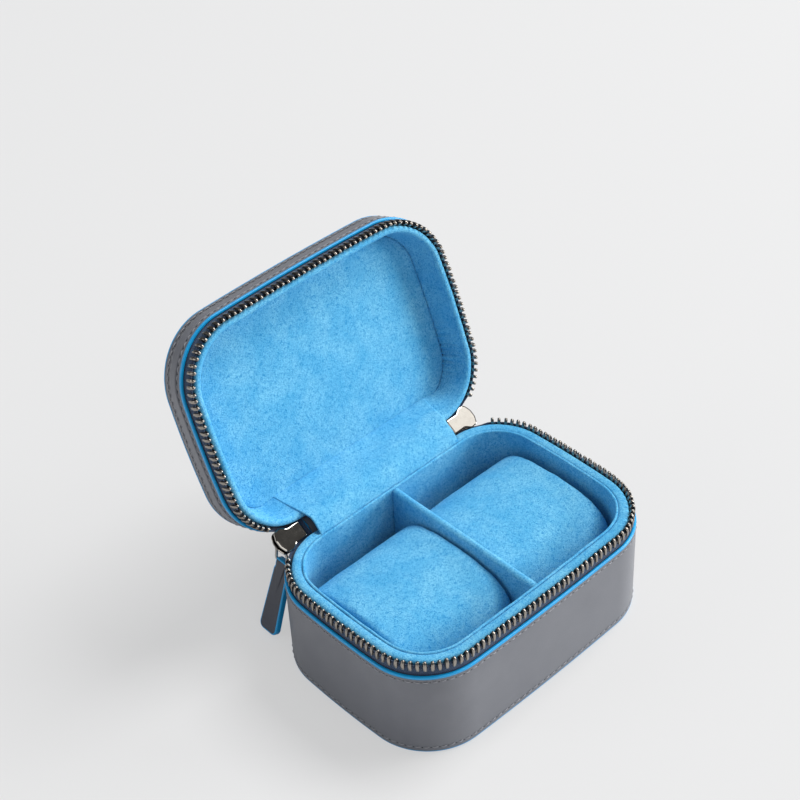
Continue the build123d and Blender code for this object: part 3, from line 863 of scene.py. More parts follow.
class Finish(Enum):
    """The finishes of the case."""

    SUEDE = Suede()
    CALF = BoxCalf()
    PULL_CALF = BoxCalf("dark_box_calf", "#3c3f48", "#474a54", roughness=0.42)
    PAINT = EdgePaint()
    TAPE = ZipTape()
    TEETH = PlatedMetal("gunmetal_teeth", "#a29b92", 0.26)
    SLIDER = PlatedMetal("polished_gunmetal", "#b9b4ac", 0.06, 0.03)
    STEEL = PlatedMetal("nickel_plate", "#d8d2ca", 0.15)
    THREAD = Thread()
    # painted shade: the dark of a needle hole's hollow, drawn as a flat dark disc
    HOLE = Padding("needle_hole_shade", "#1d1e22", 0.5)
    BOARD = Padding("grey_board", "#7d776c", 1.2)
    FOAM = Padding("cut_foam", "#c9c7bd", 0.8)

    def material(self) -> bpy.types.Material:
        """The finish's material, made on its first use."""
        return bpy.data.materials.get(self.value.name) or self.value.material()


def dress(node: str, finish: Finish) -> None:
    """Gives a carried-over piece its finish.

    Args:
        node: the piece's node.
        finish: its finish.
    """
    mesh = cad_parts[node].data
    mesh.materials.clear()
    mesh.materials.append(finish.material())


def settle(item: bpy.types.Object, body: str, slot: str, *nodes: str) -> bpy.types.Object:
    """Lets a rigid piece ride on a body, and reports it.

    Args:
        item: the piece.
        body: the body that carries it.
        slot: the material slot of its nodes; not used.
        nodes: the CAD nodes that it stands for.

    Returns:
        The piece.
    """
    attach(item, body)
    if nodes:
        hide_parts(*nodes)
    LOG.info("%s: %d faces, on %s", item.name, len(item.data.polygons), body)
    return item


def bend(item: bpy.types.Object, start: Sequence[float], end: Sequence[float], slot: str,
         *nodes: str) -> bpy.types.Object:
    """Keeps a soft piece where it is drawn between the box and the open lid, and reports it.

    Args:
        item: the piece.
        start: where it leaves the box, in millimetres; not used.
        end: where it is the lid's, in millimetres; not used.
        slot: the material slot of its nodes; not used.
        nodes: the CAD nodes that it stands for.

    Returns:
        The piece.
    """
    if nodes:
        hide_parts(*nodes)
    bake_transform(item)
    LOG.info("%s: %d faces, from box to lid", item.name, len(item.data.polygons))
    return item


# ---- leather shells -------------------------------------------------------------------------------
@dataclass
class Shell:
    """A stiff wall of calf with painted cut edges and two rows of stitches, as on the box and the lid.

    Heights run from the shell's closed face to its open rim; place turns them into the model's frame.
    """

    name: str
    body: str
    nodes: tuple[str, ...]
    height: float
    place: Place
    leather: float = 1.4
    leather_foot: float = 0.3
    dip: float = 0.14
    dip_shoulder: float = 0.05
    dip_half: float = 0.8
    paint: float = 1.25
    paint_bulge: float = 0.05
    paint_round: float = 0.55
    foot_paint: float = 0.9
    foot_draw: float = 0.12
    seam: float = 3.0
    thread: float = 0.62
    # radius and lift of the dark disc of painted shade drawn at each needle hole
    hole: float = 0.3
    hole_out: float = 0.02
    stitch: float = 2.6
    stitch_lean: float = 0.12
    pitch: float = 3.7

    def rows(self) -> tuple[float, float]:
        """Heights of the two rows of stitches."""
        return self.seam, self.height - self.seam

    def wall_profile(self) -> Array:
        """Closed profile (inset, height) of the leather, dipped where each row of stitches pulls it in.

        Returns:
            (K, 2) inset and height.
        """
        near, wide = self.dip_shoulder, self.dip_half
        low, high = ([(0, row - wide), (near, row - wide / 2), (self.dip, row), (near, row + wide / 2),
                      (0, row + wide)] for row in self.rows())
        middle = [(-0.02, self.height * share) for share in (0.25, 0.4, 0.6, 0.75)]
        outside = [(self.foot_draw, self.leather_foot), (0.02, 1.2)] + low + middle + high
        top = self.height - self.paint * 0.5
        return np.array([(self.leather, self.leather_foot)] + outside + [(0, top), (self.leather, top)])

    def bead(self, low: float, high: float, draw: float, round_top: bool) -> Array:
        """Closed profile of a painted edge: quarter arcs round a film over the cut leather.

        Args:
            low: height of its lower end.
            high: height of its upper end.
            draw: inset of the leather's face beside it.
            round_top: whether its upper end is the round one.

        Returns:
            (K, 2) inset and height.
        """
        outer, inner = draw - self.paint_bulge, self.leather + 0.02
        swell = min(self.paint_round, high - low)
        if round_top:
            crown = np.vstack([arc(outer + swell, high - swell, swell, 180, 90, 6),
                               arc(inner - swell, high - swell, swell, 90, 0, 6)])
            return np.vstack([[(outer, low)], crown, [(inner, low)]])
        crown = np.vstack([arc(outer + swell, low + swell, swell, 180, 270, 6), [(inner, low)]])
        return np.vstack([[(outer, high)], crown, [(inner, high)]])

    def ring(self, name: str, profile: Array, finish: Finish, step: float = 1.1) -> bpy.types.Object:
        """A closed profile carried round the whole outline.

        Args:
            name: the piece's name.
            profile: (K, 2) inset and height.
            finish: its finish.
            step: distance between cross-sections.

        Returns:
            The mesh object.
        """
        run = PLAN.loop(step)
        shape = Shape()
        points = PLAN.sweep(run, profile[:, 0], profile[:, 1])
        shape.grid(self.place(points), wrap_rows=True, wrap_cols=True)
        return shape.make(name, [finish.material()])

    @staticmethod
    def local_axes(outward: Array, tilt: Array) -> Array:
        """Axes for copies on the wall: X along it, tilted out of the level, Y outwards, and Z = X x Y.

        Args:
            outward: (N, 2) outward normals.
            tilt: (N,) tilts in radians.

        Returns:
            (N, 3, 3) axes as rows.
        """
        level = np.zeros(len(outward))
        along = np.stack([-outward[:, 1], outward[:, 0], level], -1) * np.cos(tilt)[:, None]
        along += np.array([0, 0, 1]) * np.sin(tilt)[:, None]
        out = np.stack([outward[:, 0], outward[:, 1], level], -1)
        return np.stack([along, out, np.cross(along, out)], 1)

    def stitches(self) -> bpy.types.Object:
        """Two rows of stitches, each tilted a little and sunk at its ends, and a needle hole between two,
        drawn as a dark disc of painted shade.

        A stitch is seven rings of six points along X: the radius falls as (1 - t^4)^(1/2), and the
        middle is lifted as 1 - t^2. A hole is a fan of six dark triangles on the leather: painted shade.

        Returns:
            The mesh object.
        """
        t = np.linspace(-1, 1, 7)
        turn = np.linspace(0, 2 * np.pi, 6, endpoint=False)
        radius = self.thread / 2 * np.sqrt(np.clip(1 - t ** 4, 0.02, 1))
        lift = 0.3 * (1 - t ** 2) - 0.2
        stitch = np.stack([np.broadcast_to(t[:, None] * self.stitch / 2, (7, 6)),
                           radius[:, None] * np.cos(turn) * 0.8 + lift[:, None],
                           radius[:, None] * np.sin(turn)], -1)
        small, shape = Shape(), Shape()
        small.grid(stitch, wrap_cols=True)
        rim = np.stack([self.hole * np.cos(turn), np.full(6, self.hole_out), self.hole * np.sin(turn)], -1)
        hole = np.vstack([rim, [(0, self.hole_out, 0)]])
        fan = np.stack([np.arange(6), np.roll(np.arange(6), -1), np.full(6, 6)], -1)
        for row, phase, lean in zip(self.rows(), (0.5, 0.25), (self.stitch_lean, -self.stitch_lean)):
            run = PLAN.spaced(0.0, self.pitch, phase)
            rng = np.random.default_rng(int(row * 10))
            tilt = lean + rng.normal(0, 0.03, len(run))
            points, outward = PLAN.at(run)
            origins = np.column_stack([points, np.full(len(run), row)])
            shape.repeat(stitch.reshape(-1, 3), small.faces[0], origins, self.local_axes(outward, tilt))
            # needle holes: dark fans just proud of the leather, painted shade of each hole's hollow
            points, outward = PLAN.at(run + self.pitch / 2)
            origins = np.column_stack([points, np.full(len(run), row)])
            shape.repeat(hole, fan, origins, self.local_axes(outward, np.zeros(len(run))), 1)
        shape.points = [self.place(block) for block in shape.points]
        return shape.make(f"{self.name}_stitches", [Finish.THREAD.material(), Finish.HOLE.material()])

    def build(self) -> None:
        """Makes the wall, both painted edges and the stitches."""
        wall = self.ring(f"{self.name}_calf", self.wall_profile(), Finish.CALF)
        settle(wall, self.body, "grey_leather", *self.nodes)
        rim = self.bead(self.height - self.paint, self.height, 0.0, True)
        settle(self.ring(f"{self.name}_rim_paint", rim, Finish.PAINT, 0.9), self.body, "grey_leather")
        foot = self.bead(0.0, self.foot_paint, self.foot_draw, False)
        settle(self.ring(f"{self.name}_foot_paint", foot, Finish.PAINT, 0.9), self.body, "grey_leather")
        settle(self.stitches(), self.body, "grey_leather")


# ---- suede linings --------------------------------------------------------------------------------
Reshape = Callable[[Array, Array, Array], tuple[Array, Array]]


def suede_ring(name: str, profile: Array, place: Place, seed: int, uneven: float = 0.1,
               shape_it: Reshape | None = None, step: float = 0.9) -> bpy.types.Object:
    """A closed suede profile carried round the case, a little uneven as hand-glued suede is.

    Args:
        name: the piece's name.
        profile: closed (K, 2) inset and height.
        place: turns the points into the model's frame.
        seed: seeds the unevenness.
        uneven: how far the surface strays in millimetres.
        shape_it: changes insets and heights (K, N) from the points (K, N, 3).
        step: distance between cross-sections.

    Returns:
        The mesh object.
    """
    run = PLAN.loop(step)
    points = PLAN.sweep(run, profile[:, 0], profile[:, 1])
    stray = uneven * ripple(points, 11.0, seed)
    inset, height = profile[:, :1] + stray, profile[:, 1:] + 0.5 * stray
    if shape_it:
        inset, height = shape_it(points, inset, height)
    shape = Shape()
    shape.grid(place(PLAN.sweep(run, inset, height)), wrap_rows=True, wrap_cols=True)
    return shape.make(name, [Finish.SUEDE.material()])


@dataclass
class BoxLining:
    """Suede inside the box: a padded collar, walls with a rolled edge, the floor and the divider."""

    rim: float = BOX_HEIGHT
    rise: float = 5.9
    collar_out: float = 3.4
    collar_in: float = 7.95
    wall_in: float = 9.2
    floor: float = 7.9
    flap_half: float = 43.3
    flap_step: float = 1.05
    flap_seam: float = 7.0
    back_from: float = 40.0
    divider_x: float = 0.5
    divider_half: float = 1.8
    divider_top: float = 52.4
    divider_reach: float = 43.15

    def collar(self) -> bpy.types.Object:
        """Padded collar: a low crown between its outer edge and the seam, lowered under the flap.

        Returns:
            The mesh object.
        """
        top = self.rim + self.rise
        outer, inner = self.collar_out, self.collar_in
        crown = np.array([(outer, top - 7.5), (outer, top - 3.5), (outer, top - 1.6),
                          (outer + 0.2, top - 0.75), (outer + 0.75, top - 0.18), (outer + 1.6, top),
                          (outer + 2.6, top),
                          (inner - 0.9, top - 0.08), (inner - 0.35, top - 0.3), (inner - 0.06, top - 0.75),
                          (inner, top - 1.6), (inner, top - 7.5)])

        def under_flap(points: Array, inset: Array, height: Array) -> tuple[Array, Array]:
            """Lowers the crown where the flap lies on it, with an edge half a millimetre wide.

            Args:
                points: (..., 3) points of the plain ring.
                inset: their insets.
                height: their heights.

            Returns:
                The new insets and heights.
            """
            cover = 1 / (1 + np.exp((np.abs(points[..., 0]) - self.flap_half) * 12))
            cover *= (points[..., 1] > self.back_from) * (inset < self.flap_seam)
            limit = top - self.flap_step
            return inset, np.where(height > limit, height + (limit - height) * cover, height)

        return suede_ring("box_collar", crown, box_place, seed=3, uneven=0.07, shape_it=under_flap)

    def walls(self) -> bpy.types.Object:
        """Wall of both wells, glued to the foam, with a rolled top edge beside the collar's seam.

        Returns:
            The mesh object.
        """
        top = self.rim + self.rise + 0.05
        middle = (self.collar_in + self.wall_in) / 2 + 0.05
        roll = arc(middle, top - 0.62, 0.62, 180, 0, 9)
        inside = [(self.wall_in + 0.02, top - share) for share in (2.0, 6.0, 12.0, 20.0, 30.0, 40.0)]
        profile = np.vstack([[(self.collar_in + 0.1, self.floor)], roll, inside,
                             [(self.wall_in - 0.2, self.floor - 0.1)]])
        return suede_ring("box_lining", profile, box_place, seed=5, uneven=0.12)

    def divider(self) -> bpy.types.Object:
        """Suede folded over the divider's board: a slab with a round ridge, carried from front to back.

        Returns:
            The mesh object.
        """
        half, top = self.divider_half, self.divider_top
        ridge = arc(0, top - half, half, 180, 0, 11)[::-1]
        sides = [(half, z) for z in np.linspace(self.floor, top - half, 14)[:-1]]
        profile = np.array(sides + ridge.tolist() + [(-x, z) for x, z in reversed(sides)])
        y = np.linspace(-self.divider_reach, self.divider_reach, 120)
        points = np.empty((len(profile), len(y), 3))
        points[..., 0] = profile[:, :1] + self.divider_x
        points[..., 1] = y
        points[..., 2] = profile[:, 1:]
        stray = ripple(points, 14.0, 8)
        points[..., 0] += 0.08 * stray * np.sign(profile[:, :1])
        points[..., 2] += 0.05 * stray * (profile[:, 1:] > top - 2.5)
        shape = Shape()
        index = shape.grid(points, wrap_rows=True)
        for column, facing in ((0, 1), (-1, -1)):
            middle = np.array([self.divider_x, y[column], (self.floor + top) / 2])
            shape.cap(index[::facing, column], middle)
        return shape.make("divider_suede", [Finish.SUEDE.material()])

    def build(self) -> None:
        """Makes the lining and dresses the floor."""
        settle(self.collar(), "base", "blue_suede", "base_collar")
        settle(self.walls(), "base", "blue_suede", "base_lining_wall")
        settle(self.divider(), "base", "blue_suede", "divider_cover")
        dress("base_floor_lining", Finish.SUEDE)


@dataclass
class LidLining:
    """Suede inside the lid, drawn shut: a padded collar, a wall that slopes in, and a padded panel."""

    edge: float = 54.1
    collar_out: float = 3.4
    lip: float = 6.6
    foot: float = 9.0
    panel: float = 68.8
    panel_crown: float = 0.5
    pucker: float = 0.6
    pucker_pitch: float = 3.3
    corner_x: float = 44.0
    corner_y: float = 22.0
    corner_run: float = 28.0
    fill_start: float = 58.0
    fill_length: float = 13.0
    fill_reach: float = 4.4

    def wall(self) -> bpy.types.Object:
        """Collar and wall in one: a round lip, then a slope with puckers where it turns the back corners.

        Returns:
            The mesh object.
        """
        edge, out, lip = self.edge, self.collar_out, self.lip
        slope = [(lip + (self.foot - lip) * t ** 1.3, edge + 1.6 + (self.panel + 0.8 - edge - 1.6) * t)
                 for t in np.linspace(0, 1, 12)]
        profile = np.array([(out, self.panel), (out, edge + 4), (out, edge + 1.6), (out + 0.22, edge + 0.7),
                            (out + 0.8, edge + 0.12), (out + 1.5, edge), (lip - 0.8, edge + 0.12),
                            (lip - 0.25, edge + 0.7)] + slope)

        def pucker(points: Array, inset: Array, height: Array) -> tuple[Array, Array]:
            """Sine folds across the back corners, and padding that fills the wall's foot at the back.

            Args:
                points: (..., 3) points of the plain ring.
                inset: their insets.
                height: their heights.

            Returns:
                The new insets and heights.
            """
            bearing = np.arctan2(points[..., 1] - self.corner_y, np.abs(points[..., 0]) - self.corner_x)
            near = np.exp(-((np.degrees(bearing) - 8) / 26) ** 2)
            depth = (points[..., 2] - edge) / (self.panel - edge)
            band = np.clip(depth * 2.2 - 0.35, 0, 1) * (inset > lip - 0.5)
            run = bearing * self.corner_run
            folds = np.sin(run * 2 * np.pi / self.pucker_pitch) + 0.5 * np.sin(run * 2 * np.pi / 2.1 + 1)
            fill = np.clip((self.fill_start - np.abs(points[..., 0])) / self.fill_length, 0, 1)
            fill = fill ** 2 * (3 - 2 * fill) * (points[..., 1] > 0) * np.clip(depth, 0, 1) * self.fill_reach
            return inset + self.pucker * folds * near * band + fill * (inset > lip - 0.5), height

        return suede_ring("lid_lining", profile, HINGE.open, seed=11, shape_it=pucker, step=0.7)

    def cover(self) -> bpy.types.Object:
        """Padded panel: the plan drawn in ring by ring, crowned as 1 - e^(-6t), its edge tucked behind.

        Returns:
            The mesh object.
        """
        run = PLAN.loop(0.9)
        shares = np.linspace(0, 1, 34)
        tuck = [(self.foot - 0.3, self.panel + 1.0), (self.foot - 0.2, self.panel + 0.45),
                (self.foot + 0.25, self.panel + 0.12)]
        insets = [inset for inset, _ in tuck] + [self.foot + 1.0 + 33.4 * t for t in shares ** 0.9]
        heights = [z for _, z in tuck]
        heights += [self.panel - self.panel_crown * (1 - np.exp(-t * 6)) for t in shares]
        points, outward = PLAN.at(run)
        rows = []
        for inset, height in zip(insets, heights):
            share = max(0.0, (inset - self.foot) / 35.0)
            ring = (points - min(inset, self.foot) * outward) * (1 - share)
            rows.append(np.column_stack([ring, np.full(len(run), height)]))
        grid = np.stack(rows)
        grid[..., 2] += 0.12 * ripple(grid, 18.0, 21) * (np.arange(len(rows)) > 3)[:, None]
        shape = Shape()
        index = shape.grid(HINGE.open(grid), wrap_cols=True)
        shape.cap(index[-1], HINGE.open(np.array([0, 0, self.panel - self.panel_crown])))
        return shape.make("lid_panel", [Finish.SUEDE.material()], closed=False)

    def build(self) -> None:
        """Makes the lid's lining."""
        settle(self.wall(), "lid", "blue_suede", "lid_collar", "lid_lining_wall")
        settle(self.cover(), "lid", "blue_suede", "lid_lining_panel")


# ---- soft hinge -----------------------------------------------------------------------------------
@dataclass
class SoftHinge:
    """The suede flap from the box's collar over the hinge down to the lid's panel, and the calf spine."""

    flap: float = 0.9
    spine: float = 1.3
    half: float = 42.4
    spine_half: float = 43.0
    crease_half: float = 46.4
    wall: float = 1.5
    flap_start: tuple[float, float, float] = (0.0, 48.6, 52.4)
    flap_end: tuple[float, float, float] = (0.0, 55.2, 58.6)
    spine_start: tuple[float, float, float] = (0.0, 50.6, 47.2)
    spine_end: tuple[float, float, float] = (0.0, 59.8, 53.6)

    def flap_line(self) -> Array:
        """Cross-section (Y, Z) of the flap's upper face, from the collar's seam to the lid's crease.

        Returns:
            (K, 2) Y and Z.
        """
        crease = HINGE.open(np.array([0, 39.3, 68.55]))[1:]
        points = [(44.75, 52.1), (45.0, 52.9), (45.9, 54.3), (47.3, 56.1), (49.3, 58.0), (51.8, 59.3),
                  (54.6, 60.0), (57.6, 60.3), (62.5, 60.3), (67.0, 60.35), crease + (-0.9, 0.12),
                  crease + (0.4, -0.5)]
        return smooth(np.array(points, float), 6)

    def cover(self) -> bpy.types.Object:
        """The flap: its line carried across, flaring towards the crease, with edges turned down a little.

        Returns:
            The mesh object.
        """
        line = self.flap_line()
        half = np.interp(line[:, 0], (44.7, 51.0, 57.5, 72.0),
                         (self.half, self.half, 44.1, self.crease_half))
        across = np.linspace(-1, 1, 150)
        points = np.empty((len(line), len(across), 3))
        points[..., 0] = half[:, None] * across
        points[..., 1] = line[:, :1]
        points[..., 2] = line[:, 1:]
        stray = 0.1 * ripple(points, 12.0, 31)
        points[..., 2] += stray
        points[..., 1] -= 0.3 * stray
        shape = Shape()
        shape.grid(points)
        item = shape.make("hinge_flap_suede", [Finish.SUEDE.material()], closed=False)
        solidify(item, self.flap, -1.0)
        bake(item)
        return item

    def back(self) -> bpy.types.Object:
        """The spine: an arc of calf from the box's rim to the lid's, with its ends inside both walls.

        Returns:
            The mesh object.
        """
        middle = PLAN.depth / 2 - self.wall - self.spine / 2
        lid_rim = HINGE.open(np.array([0, middle, SHUT_HEIGHT - LID_HEIGHT]))[2]
        radius = (lid_rim - BOX_HEIGHT) / np.sin(np.radians(HINGE.angle))
        turn = np.radians(np.linspace(0, HINGE.angle, 24))
        arch = np.stack([middle + radius * (1 - np.cos(turn)), BOX_HEIGHT + radius * np.sin(turn)], -1)
        low = np.array([(middle, z) for z in (38.0, 41.0, 44.0)])
        high = HINGE.open(np.array([[0, middle, z] for z in (63.0, 66.0, 69.0)]))[:, 1:]
        line = np.vstack([low, arch, high])
        aside = self.offset(line, self.spine / 2)
        loop = np.vstack([line + aside, (line - aside)[::-1]])
        across = np.linspace(-self.spine_half, self.spine_half, 60)
        points = np.empty((len(loop), len(across), 3))
        points[..., 0] = across
        points[..., 1] = loop[:, :1]
        points[..., 2] = loop[:, 1:]
        shape = Shape()
        index = shape.grid(points, wrap_rows=True)
        shape.close_edge(index[:, 0], left=True, kind=1)
        shape.close_edge(index[:, -1], left=False, kind=1)
        return shape.make("hinge_spine_calf", [Finish.CALF.material(), Finish.PAINT.material()])

    @staticmethod
    def offset(line: Array, distance: float) -> Array:
        """Vectors that move an open line (N, 2) to its left by a distance.

        Args:
            line: (N, 2) points of the line.
            distance: how far to its left.

        Returns:
            (N, 2) vectors.
        """
        along = np.gradient(line, axis=0)
        along /= np.linalg.norm(along, axis=1, keepdims=True)
        return distance * np.stack([-along[:, 1], along[:, 0]], -1)

    def build(self) -> None:
        """Makes both, drawn between the box and the open lid."""
        bend(self.cover(), self.flap_start, self.flap_end, "blue_suede", "hinge_flap", "lid_hinge_ramp")
        bend(self.back(), self.spine_start, self.spine_end, "grey_leather", "hinge_spine")


# ---- zip ------------------------------------------------------------------------------------------
@dataclass
class ZipHalf:
    """One half of the zip, drawn as on the box: tape from inside the wall up to a chain of teeth."""

    name: str
    body: str
    tape_node: str
    teeth_node: str
    phase: float
    place: Place
    rim: float = BOX_HEIGHT
    tape_inset: float = 1.9
    tape: float = 0.6
    tail: float = 6.0
    tape_rise: float = 5.15
    slider_dip: float = 1.9
    slider_lean: float = 0.9
    foot: float = 2.8
    pitch: float = 3.0
    width: float = 1.3
    depth: float = 2.6
    length: float = 4.7
    teeth_end: float = 60.9
    hinge_half: float = 43.3

    def tape_strip(self) -> bpy.types.Object:
        """The tape: a thin strip round the case, lower beside the slider, where it leans into its channel.

        Returns:
            The mesh object.
        """
        end = PLAN.half() - self.hinge_half
        run = np.linspace(-end, end, 520)
        points, _ = PLAN.at(run)
        beside = (points[:, 1] > 0) / (1 + np.exp((np.abs(points[:, 0]) - self.teeth_end - 0.5) * 1.5))
        top = self.rim + self.tape_rise - self.slider_dip * beside
        share = np.linspace(0, 1, 9)[:, None]
        height = (self.rim - self.tail) * (1 - share) + top[None] * share
        lean = self.tape_inset - self.slider_lean * beside[None] * np.clip(share * 2 - 1, 0, 1)
        half = self.tape / 2
        inset = np.vstack([lean - half, (lean + half)[::-1]])
        height = np.vstack([height, height[::-1]])
        shape = Shape()
        v = np.concatenate([height[:, 0], height[:1, 0]])
        index = shape.grid(self.place(PLAN.sweep(run, inset, height)), wrap_rows=True, u=run, v=v)
        shape.close_edge(index[:, 0], left=True)
        shape.close_edge(index[:, -1], left=False)
        return shape.make(f"{self.name}_tape", [Finish.TAPE.material()])

    def tooth(self) -> tuple[Array, Array]:
        """A tooth (X along the chain, Y out, Z up): two legs astride the tape that join in a round head.

        Returns:
            Points (P, 3) and faces (F, 4): four outlines across the width, the end ones drawn in, with
            quads between them, from leg to leg over the head, and down both legs.
        """
        leg, slot, tip = self.depth / 2, 0.33, 0.78
        knee = self.length * 0.5
        half = [(slot, knee), (slot, 0.25), (slot + 0.2, 0), (leg - 0.15, 0.0), (leg, 0.3),
                (leg, knee * 1.15), (leg * 0.86, self.length * 0.74), (tip, self.length * 0.9),
                (tip * 0.55, self.length)]
        line = np.array(half + [(-y, z) for y, z in reversed(half)])
        middle = np.array([0.0, self.length * 0.55])
        stations = ((-0.5, 0.84), (-0.36, 1.0), (0.36, 1.0), (0.5, 0.84))
        rows = []
        for x, scale in stations:
            outline = middle + (line - middle) * scale
            rows.append(np.column_stack([np.full(len(line), x * self.width), outline]))
        grid = np.stack(rows)
        grid[..., 0] *= 1 + 0.2 * np.exp(-((grid[..., 2] - self.length * 0.52) / 0.5) ** 2)
        small = Shape()
        index = small.grid(grid, wrap_cols=True)
        n = len(line)
        near = index[:, :n // 2]
        far = index[:, n // 2:][:, ::-1]
        ends = []
        for row, turn in ((0, 1), (-1, -1)):
            strip = np.stack([near[row, :-1], near[row, 1:], far[row, 1:], far[row, :-1]], -1)
            ends.append(strip[4:][:, ::turn])
            legs = [[near[row, 0], near[row, 1], near[row, 4], near[row, 5]],
                    [near[row, 1], near[row, 2], near[row, 3], near[row, 4]],
                    [far[row, 5], far[row, 4], far[row, 1], far[row, 0]],
                    [far[row, 4], far[row, 3], far[row, 2], far[row, 1]],
                    [near[row, 0], near[row, 5], far[row, 5], far[row, 0]]]
            ends.append(np.array(legs)[:, ::turn])
        faces = np.concatenate([np.concatenate(small.faces)] + ends)
        return grid.reshape(-1, 3), faces

    def chain(self) -> bpy.types.Object:
        """Teeth at one pitch both ways from the middle of the front to just before the sliders.

        Returns:
            The mesh object.
        """
        run = PLAN.spaced(self.tape_inset, self.pitch, self.phase)
        points, outward = PLAN.at(run)
        spots = points - self.tape_inset * outward
        keep = (spots[:, 1] < 0) | (np.abs(spots[:, 0]) > self.teeth_end + self.width / 2)
        spots, outward = spots[keep], outward[keep]
        rng = np.random.default_rng(17 if self.phase else 23)
        lean = rng.normal(0, 0.03, (len(spots), 2))
        out = np.concatenate([outward, lean[:, :1]], -1)
        out /= np.linalg.norm(out, axis=1, keepdims=True)
        along = np.stack([-outward[:, 1], outward[:, 0], lean[:, 1]], -1)
        along /= np.linalg.norm(along, axis=1, keepdims=True)
        axes = np.stack([along, out, np.cross(along, out)], 1)
        axes[:, 2] *= np.sign(axes[:, 2, 2])[:, None]
        origins = np.concatenate([spots, np.full((len(spots), 1), self.rim + self.foot)], -1)
        small, faces = self.tooth()
        shape = Shape()
        shape.repeat(small, faces, origins, axes)
        shape.points = [self.place(block) for block in shape.points]
        return shape.make(f"{self.name}_teeth", [Finish.TEETH.material()])

    def build(self) -> None:
        """Makes the tape and the chain."""
        settle(self.tape_strip(), self.body, "zip_tape", self.tape_node)
        settle(self.chain(), self.body, "gunmetal", self.teeth_node)


